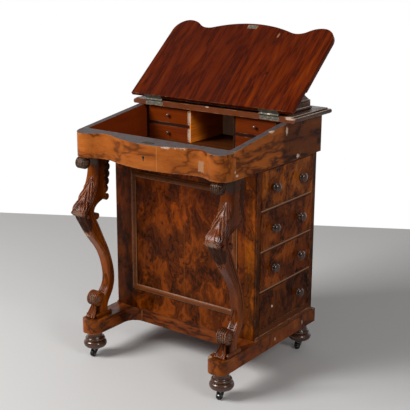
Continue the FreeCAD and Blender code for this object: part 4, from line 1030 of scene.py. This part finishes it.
@dataclass
class CarvedLeg:
    """Cabriole leg with its knee leaf, moulded edges, scrolls and toe leaf.

    Attributes:
        x: middle of the right leg.
        width: width that the carving's shares belong to.
        back_y: plane that the sweep is measured from.
        sweep: forward reach of the knee.
        foot_z: top of the plinth.
        height: height of the leg.
        front_shares: heights and forward shares of the front outline.
        back_shares: heights and forward shares of the back outline.
        half_shares: heights and half-width shares of the front view.
        leaf_front_shares: heights and forward shares of the knee leaf.
        leaf_half_shares: heights and half-width shares of the knee leaf.
        front_limit: plane that no carving passes.
        bead_heights: height shares of the first and last scallop.
        bead_forwards: forward shares of the first and last scallop.
        scrolls: height, forward share, radius and half width of each scroll.
        tip_profile: radius and length along a tip of the knee leaf.
        curl_profile: radius and length along a curl of the shin leaf.
        bead_profile: radius and length along a scallop's ring and boss.
        toe_shares: heights and forward shares of the toe leaf.
        knee_span: height shares where the knee leaf starts and ends.
        shin_span: height shares where the shin leaf starts and ends.
        toe_span: height shares where the toe leaf starts and ends.
        tip_span: height shares where the leaf over the foot scroll starts and ends.
        rib_places: places of a scroll's ribs, as shares of its half width.
    """

    x: float = LEG_X
    width: float = 0.050
    back_y: float = -0.148
    sweep: float = 0.142
    foot_z: float = 0.130
    height: float = 0.521
    front_shares: Table = (
        (0.883, 0.500), (0.812, 0.585), (0.745, 0.732), (0.676, 0.920), (0.595, 0.815), (0.511, 0.632),
        (0.403, 0.345), (0.284, 0.195), (0.173, 0.205), (0.106, 0.400))
    back_shares: Table = (
        (0.760, 0.255), (0.736, 0.320), (0.706, 0.570), (0.668, 0.640), (0.595, 0.508), (0.511, 0.352),
        (0.403, 0.155), (0.284, 0.015), (0.202, -0.010), (0.140, 0.050))
    half_shares: Table = (
        (1.000, 0.50), (0.825, 0.48), (0.710, 0.50), (0.595, 0.42), (0.413, 0.34), (0.230, 0.31),
        (0.134, 0.35), (0.067, 0.37), (0.000, 0.38))
    leaf_front_shares: Table = (
        (0.884, 0.470), (0.873, 0.485), (0.812, 0.615), (0.745, 0.795), (0.700, 0.940), (0.689, 0.970),
        (0.680, 0.993), (0.674, 0.997), (0.668, 0.993), (0.658, 0.960))
    leaf_half_shares: Table = ((0.884, 0.16), (0.812, 0.42), (0.745, 0.50), (0.690, 0.55), (0.652, 0.54))
    front_limit: float = -0.2893
    bead_heights: Tuple[float, float] = (0.960, 0.790)
    bead_forwards: Tuple[float, float] = (0.200, 0.272)
    scrolls: Tuple[Tuple[float, float, float, float], ...] = (
        (0.966, 0.770, 0.0170, 0.0145), (0.115, 0.500, 0.0220, 0.0165),
        (0.740, 0.245, 0.0105, 0.0240), (0.638, 0.545, 0.0105, 0.0210))
    tip_profile: Table = (
        (0.0008, -0.0100), (0.0040, -0.0070), (0.0060, -0.0010), (0.0050, 0.0044), (0.0008, 0.0072))
    curl_profile: Table = (
        (0.0006, -0.0050), (0.0030, -0.0030), (0.0040, 0.0), (0.0030, 0.0030), (0.0006, 0.0048))
    bead_profile: Table = (
        (0.0098, 0.0), (0.0094, 0.0022), (0.0080, 0.0030), (0.0064, 0.0022), (0.0056, 0.0010), (0.0046, 0.0022),
        (0.0026, 0.0036), (0.0006, 0.0040))
    toe_shares: Table = ((0.085, 0.585), (0.060, 0.610), (0.035, 0.650), (0.015, 0.700), (0.003, 0.745))
    knee_span: Tuple[float, float] = (0.884, 0.660)
    shin_span: Tuple[float, float] = (0.650, 0.528)
    toe_span: Tuple[float, float] = (0.082, 0.006)
    tip_span: Tuple[float, float] = (0.245, 0.140)
    rib_places: Tuple[float, ...] = (-0.78, -0.39, 0.0, 0.39, 0.78)

    def spot(self, height_share: float, sweep_share: float, aside: float = 0.0) -> Vector:
        """Place on the leg.

        Args:
            height_share: share of the leg's height.
            sweep_share: forward share of its sweep.
            aside: distance from its middle plane.

        Returns:
            The place.
        """
        return Vector((self.x + aside, self.back_y - sweep_share * self.sweep,
                       self.foot_z + height_share * self.height))

    def leaf(self, piece: MeshPiece, route: Sequence[Tuple[float, float, float]], ribs: float, fan: float,
             crown: float, rib: float, sunk: float) -> None:
        """Add a leaf along a route on the middle plane, with ribs that fan out from its midrib.

        Args:
            piece: piece to add to.
            route: height share, forward share and half width from the tip down.
            ribs: number of ribs on each half.
            fan: half widths that a rib moves outwards over the leaf's length.
            crown: rise of its midrib.
            rib: rise of its ribs.
            sunk: depth of its edges and back in the leg.
        """
        columns = 41
        front: List[List[Point]] = []
        back: List[List[Point]] = []
        middles = [self.spot(height, forward) for height, forward, _ in route]
        for index, (middle, (_, _, half)) in enumerate(zip(middles, route)):
            before, after = middles[max(index - 1, 0)], middles[min(index + 1, len(middles) - 1)]
            way = (after - before).normalized()
            out = way.cross(Vector((1.0, 0.0, 0.0))).normalized()
            if out.y > 0.0:
                out.negate()
            share = index / (len(route) - 1)
            swell = math.sin(math.pi * min(max(share, 0.02), 0.95)) ** 0.25
            front_row: List[Point] = []
            back_row: List[Point] = []
            lobe = abs(math.cos(math.pi * ribs * (1.0 - fan * share)))
            for column in range(columns):
                u = 2.0 * column / (columns - 1) - 1.0
                ridge = 2.0 * abs(math.cos(math.pi * ribs * (abs(u) - fan * share))) ** 0.8 - 1.0
                rise = crown * swell * math.exp(-(u / 0.16) ** 2) - sunk * abs(u) ** 6
                rise += rib * swell * ridge * min(1.0, abs(u) / 0.2)
                aside = Vector((u * half * (0.94 + 0.12 * lobe), 0.0, 0.0))
                top = middle + aside + out * rise
                top.y = max(top.y, self.front_limit)
                front_row.append(top)
                back_row.append(middle + aside * 0.92 - out * (sunk * 1.8))
            front.append(front_row)
            back.append(back_row)
        piece.grid(front, back)

    def knee_leaf(self, piece: MeshPiece) -> None:
        """Add the acanthus leaf over the knee, with curled tips at its foot.

        Args:
            piece: piece to add to.
        """
        forward = smooth_table(self.leaf_front_shares)
        half = smooth_table(self.leaf_half_shares)
        heights = [between(self.knee_span, share) for share in even_shares(64)]
        route = [(height, forward(height) + 0.008, half(height) * self.width) for height in heights]
        self.leaf(piece, route, 2.2, 1.9, crown=0.0030, rib=0.0024, sunk=0.0050)
        for tip in (-1.0, -0.52, 0.0, 0.52, 1.0):
            middle = self.spot(0.664 - 0.006 * abs(tip), 0.942 - 0.075 * abs(tip), tip * 0.58 * self.width)
            piece.lathe(middle, Vector((tip * 0.8, -0.45, -1.0)), self.tip_profile, 12)

    def shin_leaf(self, piece: MeshPiece) -> None:
        """Add the narrow leaf that runs down from the knee and ends in a curl.

        Args:
            piece: piece to add to.
        """
        forward = smooth_table(self.front_shares)
        route = []
        for share in even_shares(24):
            height = between(self.shin_span, share)
            route.append((height, forward(height) + 0.004, 0.0165 - 0.0060 * share))
        self.leaf(piece, route, 1.6, 1.5, crown=0.0020, rib=0.0016, sunk=0.0032)
        curl = self.spot(0.522, forward(0.522) + 0.012)
        for side in (-1.0, 0.0, 1.0):
            tip = curl + Vector((side * 0.0080, 0.001 * abs(side), 0.002 * abs(side)))
            piece.lathe(tip, Vector((side * 0.6, -0.4, -1.0)), self.curl_profile, 10)

    def edge_line(self, piece: MeshPiece, shares: Table, span: Tuple[float, float], inset: float, radius: float,
                  forwards: bool) -> None:
        """Add a raised line beside an outline, on both side faces.

        Args:
            piece: piece to add to.
            shares: outline that the line follows.
            span: height shares where it starts and ends.
            inset: distance from the outline.
            radius: radius of the line.
            forwards: whether the wood lies in front of the outline.
        """
        forward = smooth_table(shares)
        half = smooth_table(self.half_shares)
        steps = 72
        heights = [between(span, share) for share in even_shares(steps)]
        outline = [self.spot(height, forward(height)) for height in heights]
        for side in SIDES:
            path: List[Vector] = []
            radii: List[float] = []
            for index, point in enumerate(outline):
                way = (outline[min(index + 1, steps)] - outline[max(index - 1, 0)]).normalized()
                inward = Vector((0.0, way.z, -way.y)) if forwards else Vector((0.0, -way.z, way.y))
                at = point + inward * inset
                height = (at.z - self.foot_z) / self.height
                path.append(Vector((self.x + side * (half(height) * self.width - 0.0005), at.y, at.z)))
                radii.append(radius * (0.25 + 0.75 * math.sin(math.pi * index / steps) ** 0.3))
            piece.rope(path, radii)

    def spiral(self, piece: MeshPiece, height: float, forward: float, radius: float, half: float) -> None:
        """Add a raised spiral round the eye of a scroll, on both of its ends.

        Args:
            piece: piece to add to.
            height: height share of the scroll.
            forward: forward share of the scroll.
            radius: radius of the scroll.
            half: half width of the scroll.
        """
        turns, start, steps = 1.5, 0.6, 48
        for side in SIDES:
            path: List[Vector] = []
            radii: List[float] = []
            for share in even_shares(steps):
                angle = 2.0 * math.pi * turns * share + start
                reach = radius * (0.88 - 0.38 * share)
                middle = self.spot(height, forward, side * (half + 0.0003))
                path.append(middle + Vector((0.0, math.cos(angle) * reach, math.sin(angle) * reach)))
                radii.append(radius * (0.14 - 0.04 * share))
            piece.rope(path, radii)

    def wrapped_ribs(self, piece: MeshPiece, scroll: Tuple[float, float, float, float], span: Tuple[float, float],
                     radius: float) -> None:
        """Add ribs round the front of a scroll.

        Args:
            piece: piece to add to.
            scroll: height, forward share, radius and half width of the scroll.
            span: angles in degrees over the back where they start and end.
            radius: radius of the ribs.
        """
        height, forward, reach, half = scroll
        for place in self.rib_places:
            path: List[Vector] = []
            radii: List[float] = []
            for share in even_shares(26):
                angle = math.radians(between(span, share))
                middle = self.spot(height, forward, place * half * (1.0 + 0.08 * math.sin(share * math.pi)))
                path.append(middle + Vector((0.0, math.cos(angle), math.sin(angle))) * reach)
                radii.append(radius * (0.35 + 0.65 * math.sin(math.pi * share) ** 0.5))
            piece.rope(path, radii)

    def toe_leaf(self, piece: MeshPiece) -> None:
        """Add the leaf that falls from the foot scroll over the front of the foot block.

        Args:
            piece: piece to add to.
        """
        forward = smooth_table(self.toe_shares)
        route = []
        for share in even_shares(18):
            height = between(self.toe_span, share)
            route.append((height, forward(height), 0.0095 + 0.0085 * share))
        self.leaf(piece, route, 1.6, 0.5, crown=0.0030, rib=0.0022, sunk=0.0036)

    def shin_tip(self, piece: MeshPiece) -> None:
        """Add the small leaf on the shin over the foot scroll, its tip curling off the shin.

        Args:
            piece: piece to add to.
        """
        forward = smooth_table(self.front_shares)
        route = []
        for share in even_shares(20):
            height = between(self.tip_span, share)
            curl = 0.010 * max(0.0, share - 0.6) / 0.4
            half = 0.0045 + 0.0075 * math.sin(math.pi * 0.72 * share)
            route.append((height, forward(height) + 0.006 + curl, half))
        self.leaf(piece, route, 1.6, 0.6, crown=0.0022, rib=0.0016, sunk=0.0036)

    def beads(self, piece: MeshPiece) -> None:
        """Add a ring and a boss to both faces of each scallop of the stem's back edge.

        Args:
            piece: piece to add to.
        """
        count, aside = 5, 0.0225
        for share in even_shares(count - 1):
            for side in SIDES:
                middle = self.spot(between(self.bead_heights, share), between(self.bead_forwards, share), side * aside)
                piece.lathe(middle, Vector((side, 0.0, 0.0)), self.bead_profile, 18)

    def build(self) -> None:
        """Build the carving of both legs and give the legs their finish."""
        piece = MeshPiece("right_leg_carving")
        self.knee_leaf(piece)
        self.shin_leaf(piece)
        self.toe_leaf(piece)
        self.shin_tip(piece)
        self.beads(piece)
        self.edge_line(piece, self.back_shares, (0.742, 0.160), 0.0050, 0.0038, True)
        self.edge_line(piece, self.back_shares, (0.738, 0.200), 0.0130, 0.0028, True)
        self.edge_line(piece, self.front_shares, (0.868, 0.200), 0.0070, 0.0026, False)
        for scroll in self.scrolls:
            self.spiral(piece, *scroll)
        self.wrapped_ribs(piece, self.scrolls[0], (100.0, 290.0), 0.0021)
        self.wrapped_ribs(piece, self.scrolls[1], (60.0, 275.0), 0.0028)
        for part in (piece, piece.mirrored("left_leg_carving")):
            part.place("desk", "carved_walnut", CARVING)
        CARVING.put_on("right_leg", "left_leg")


@dataclass
class Undercarriage:
    """Castors, feet and plinth.

    Attributes:
        corners: names of the four feet.
    """

    corners: Tuple[str, ...] = ("front_left", "front_right", "rear_left", "rear_right")

    def build(self) -> None:
        """Give the feet, castors and plinth their finishes."""
        TURNED.put_on("bun_feet")
        PLINTH.put_on("plinth_base")
        PLINTH_ARMS.put_on("plinth_arms")
        IRON.put_on("castor_sockets")
        for corner in self.corners:
            IRON.put_on("castor_horn_" + corner, "castor_wheel_" + corner)
        LOG.info("feet, castors and plinth dressed")


@dataclass
class Pedestal:
    """Case with its drawers and false drawers.

    Attributes:
        drawers: number of working drawers.
        face_y: faces of the front and the back panel.
        line_x: half widths of the panel moulding's two fine lines.
        line_rise: distance of the outer line from the case's top and bottom.
        case_z: bottom and top of the case.
        line_radius: radius of a fine line.
    """

    drawers: int = 4
    face_y: Tuple[float, float] = (-0.0944, 0.2394)
    line_x: Tuple[float, float] = (0.1985, 0.1835)
    line_rise: float = 0.0675
    case_z: Tuple[float, float] = (0.130, 0.651)
    line_radius: float = 0.0011

    def moulding_lines(self) -> None:
        """Add the two fine raised lines of each panel moulding."""
        piece = MeshPiece("panel_moulding_lines")
        for y in self.face_y:
            for x in self.line_x:
                rise = self.line_rise + self.line_x[0] - x
                low, high = self.case_z[0] + rise, self.case_z[1] - rise
                corners = [Vector((-x, y, low)), Vector((x, y, low)), Vector((x, y, high)), Vector((-x, y, high))]
                for start, end in zip(corners, corners[1:] + corners[:1]):
                    path = [start.lerp(end, share) for share in even_shares(16)]
                    piece.rope(path, [self.line_radius] * len(path))
        piece.place("desk", "walnut_carcase", MOULDING_LINE)

    def build(self) -> None:
        """Give the case and its drawers their finishes."""
        PANEL.put_on("case_front_panel", "case_back_panel")
        MOULDING.put_on("panel_mouldings", "base_mouldings")
        self.moulding_lines()
        SIDE_BOARDS.put_on("case_left_side")
        RAILS.put_on("dust_boards", "case_base")
        DRAWERS.put_on("dummy_drawer_fronts")
        TURNED.put_on("dummy_drawer_knobs")
        for number in range(1, self.drawers + 1):
            DRAWERS.put_on(f"drawer_{number}_front")
            LINING.put_on(f"drawer_{number}_tray")
            TURNED.put_on(f"drawer_{number}_knobs")
        LOG.info("pedestal dressed")


@dataclass
class WritingBox:
    """Box on the pedestal with its fittings.

    Attributes:
        small_drawers: bodies of the small drawers.
        knob_length: length of a small drawer's knob.
        knob_profile: radius and length along a small knob.
    """

    small_drawers: Tuple[str, ...] = (
        "small_drawer_left_upper", "small_drawer_left_lower", "small_drawer_right_upper",
        "small_drawer_right_lower")
    knob_length: float = 0.011
    knob_profile: Table = (
        (0.0045, 0.0), (0.0045, 0.0015), (0.0026, 0.0036), (0.0040, 0.0056), (0.0057, 0.0077), (0.0046, 0.0096),
        (0.0018, 0.0104), (0.0002, 0.0106))

    def small_knobs(self) -> None:
        """Turn the polished knobs of the small drawers."""
        for drawer in self.small_drawers:
            low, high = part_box(drawer)
            base = Vector(((low[0] + high[0]) / 2.0, low[1] + self.knob_length, (low[2] + high[2]) / 2.0))
            piece = MeshPiece(f"{drawer}_knob")
            piece.lathe(base, Vector((0.0, -1.0, 0.0)), self.knob_profile, 20)
            piece.place(drawer, "dark_walnut", SMALL_KNOBS)

    def build(self) -> None:
        """Give the box and its fittings their finishes."""
        BOX_FRONT.put_on("box_front")
        BOX_SIDE.put_on("box_left_side", "box_right_side", "pen_drawer_front")
        CARCASE.put_on("box_back")
        INSIDE.put_on("nest_boards")
        BOTTOM.put_on("box_bottom")
        SMALL_DRAWERS.put_on(*self.small_drawers)
        self.small_knobs()
        LINING.put_on("pen_drawer_tray")
        DARK_BRASS.put_on("box_lock", "key_escutcheon")
        LOG.info("writing box dressed")


@dataclass
class TopAndLid:
    """Fixed top, stationery compartment, lid and hinges.

    Attributes:
        hinge_x: middle of the right hinge.
        leaf_y: face of the fixed leaf.
        leaf_z: middle height of the fixed leaf's screws.
        arrises: X, Z and the limits along Y of the right-hand arrises, pale with wear and a painted highlight.
        arris_radius: radius of a pale arris line.
        screw_steps: places of a leaf's screws from its middle.
        screw_profile: radius and length along a screw's head.
    """

    hinge_x: float = 0.215
    leaf_y: float = 0.0400
    leaf_z: float = 0.7758
    arrises: Tuple[Tuple[float, float, float, float], ...] = (
        (0.2897, 0.7848, 0.046, 0.250), (0.2984, 0.7806, 0.044, 0.258), (0.2566, 0.7928, 0.066, 0.203),
        (0.2536, 0.8128, 0.072, 0.200), (0.2424, 0.8268, 0.080, 0.190))
    arris_radius: float = 0.0015
    screw_steps: Tuple[float, ...] = (-0.024, 0.0, 0.024)
    screw_profile: Table = ((0.0024, -0.0005), (0.0026, 0.0002), (0.0020, 0.0006), (0.0004, 0.0008))

    def screws(self) -> None:
        """Add the screws of the fixed hinge leaves."""
        piece = MeshPiece("hinge_screws")
        for side in SIDES:
            for step in self.screw_steps:
                base = Vector((side * self.hinge_x + step, self.leaf_y, self.leaf_z))
                piece.lathe(base, Vector((0.0, -1.0, 0.0)), self.screw_profile, 14)
        piece.place("desk", "old_brass", BRASS)

    def scuffed_glinting_arrises(self) -> None:
        """Add the pale arrises of the top and the stationery compartment on both ends: worn, with a painted highlight.
        """
        for name, side in (("right_scuffed_glinting_arrises", 1.0), ("left_scuffed_glinting_arrises", -1.0)):
            piece = MeshPiece(name)
            for x, z, front, rear in self.arrises:
                path = [Vector((side * x, between((front, rear), share), z)) for share in even_shares(24)]
                radii = [self.arris_radius * (0.75 + 0.25 * math.sin(2.3 * index)) for index in range(len(path))]
                piece.rope(path, radii)
            piece.place("desk", "top_walnut", SCUFFED_GLINTING_ARRIS)

    def build(self) -> None:
        """Give the top, the lid and the hinges their finishes."""
        TOP.put_on("top_board", "stationery_box", "stationery_lid")
        LID_EDGE.put_on("lid_rim")
        self.scuffed_glinting_arrises()
        MAHOGANY.put_on("writing_lid")
        LEATHER.put_on("leather_panel")
        BRASS.put_on("lock_striker", "hinge_leaves_fixed", "hinge_leaves_lid", "hinge_pins")
        self.screws()
        LOG.info("top and lid dressed")


@dataclass
class Studio:
    """Floor, lights and camera.

    Attributes:
        floor: corners of the floor.
        floor_colour: colour of the floor.
        floor_shade: colour of its slightly darker places.
        ambient: level of the soft light from all round.
        key: place, size and power of the main softbox.
        fill: place, size and power of the second softbox.
        aim: place that the softboxes look at.
        camera: place of the camera.
        azimuth: camera's angle from the front, to the right.
        elevation: camera's angle over the horizon.
        roll: camera's roll.
        lens: focal length in millimetres.
        sensor: width of the camera's sensor in millimetres.
    """

    floor: Tuple[Tuple[float, float], ...] = ((-2.70, 0.138), (1.00, 2.18), (4.2, -3.4), (0.2, -5.6))
    floor_colour: Colour = (0.60, 0.59, 0.58)
    floor_shade: Colour = (0.54, 0.53, 0.52)
    ambient: float = 0.24
    key: Tuple[Point, float, float] = ((-1.7, -2.5, 2.7), 1.6, 150.0)
    fill: Tuple[Point, float, float] = ((2.7, -1.0, 2.1), 1.0, 28.0)
    aim: Point = (0.0, 0.0, 0.5)
    camera: Point = (1.65863, -2.24850, 1.27946)
    azimuth: float = 36.162
    elevation: float = 15.869
    roll: float = 0.218
    lens: float = 82.66
    sensor: float = 36.0

    def lay_floor(self) -> None:
        """Lay the plain pale floor."""
        mesh = bpy.data.meshes.new("floor")
        mesh.from_pydata([(x, y, 0.0) for x, y in self.floor], [], [tuple(reversed(range(len(self.floor))))])
        shader = Shader("studio_floor")
        at = shader.place()
        tone = shader.span(shader.noise(at, FLOOR_SHADES, 3.0), 0.2, 0.8, 0.0, 0.06)
        colour = shader.mix(tone, self.floor_colour, self.floor_shade)
        mesh.materials.append(shader.surface(colour, 0.8))
        floor = bpy.data.objects.new("floor", mesh)
        bpy.context.scene.collection.objects.link(floor)

    def light_world(self) -> None:
        """Light the scene from all round, show white behind it and keep the room in front of it dim."""
        world = bpy.data.worlds.new("studio")
        bpy.context.scene.world = world
        world.use_nodes = True
        nodes = Nodes(world.node_tree)
        turn = math.radians(self.azimuth)
        way = nodes.node("ShaderNodeTexCoord").outputs["Generated"]
        ahead = nodes.vector("DOT_PRODUCT", way, (-math.sin(turn), math.cos(turn), 0.0))
        wall = nodes.node("ShaderNodeMapRange")
        for name, value in (("Value", ahead), ("From Min", 0.35), ("From Max", 0.75), ("To Min", self.ambient)):
            nodes.feed(wall.inputs[name], value)
        rays = nodes.node("ShaderNodeLightPath").outputs
        mirrored = nodes.math("MAXIMUM", rays["Is Glossy Ray"], rays["Is Transmission Ray"])
        level: Feed = self.ambient
        for ray, seen in ((mirrored, wall.outputs[0]), (rays["Is Camera Ray"], 1.0)):
            choice = nodes.node("ShaderNodeMix")
            for index, value in ((0, ray), (2, level), (3, seen)):
                nodes.feed(choice.inputs[index], value)
            level = choice.outputs[0]
        sky = nodes.node("ShaderNodeBackground")
        nodes.feed(sky.inputs["Color"], (1.0, 1.0, 1.0))
        nodes.feed(sky.inputs["Strength"], level)
        end = nodes.node("ShaderNodeOutputWorld")
        nodes.feed(end.inputs["Surface"], sky.outputs[0])

    def hang_softbox(self, name: str, spot: Point, size: float, power: float) -> None:
        """Hang a softbox.

        Args:
            name: name of the lamp.
            spot: its place.
            size: its side.
            power: its power in watts.
        """
        lamp = bpy.data.lights.new(name, "AREA")
        lamp.shape = "SQUARE"
        lamp.size = size
        lamp.energy = power
        holder = bpy.data.objects.new(name, lamp)
        holder.location = spot
        way = Vector(self.aim) - Vector(spot)
        holder.rotation_euler = way.to_track_quat("-Z", "Y").to_euler()
        bpy.context.scene.collection.objects.link(holder)

    def set_camera(self) -> None:
        """Set up the camera at the desk's front right."""
        turn, lift, roll = (math.radians(angle) for angle in (self.azimuth, self.elevation, self.roll))
        back = Vector((math.sin(turn) * math.cos(lift), -math.cos(turn) * math.cos(lift), math.sin(lift)))
        right = (-back).cross(Vector((0.0, 0.0, 1.0))).normalized()
        up = right.cross(-back)
        across = right * math.cos(roll) + up * math.sin(roll)
        above = up * math.cos(roll) - right * math.sin(roll)
        view = bpy.data.cameras.new("camera")
        view.lens = self.lens
        view.sensor_width = self.sensor
        holder = bpy.data.objects.new("camera", view)
        pose = Matrix((across, above, back)).transposed().to_4x4()
        pose.translation = Vector(self.camera)
        holder.matrix_world = pose
        bpy.context.scene.collection.objects.link(holder)
        bpy.context.scene.camera = holder

    def build(self) -> None:
        """Set up floor, lights and camera."""
        bpy.context.scene.view_settings.view_transform = "Standard"
        self.lay_floor()
        self.light_world()
        self.hang_softbox("key_softbox", *self.key)
        self.hang_softbox("fill_softbox", *self.fill)
        self.set_camera()


def main() -> None:
    """Build the desk's sub-assemblies and the studio."""
    logging.basicConfig(level=logging.INFO, format="%(message)s")
    for assembly in (Undercarriage(), Pedestal(), CarvedLeg(), WritingBox(), TopAndLid(), Studio()):
        assembly.build()
        LOG.info("%s built", type(assembly).__name__)


if __name__ == "__main__":
    main()
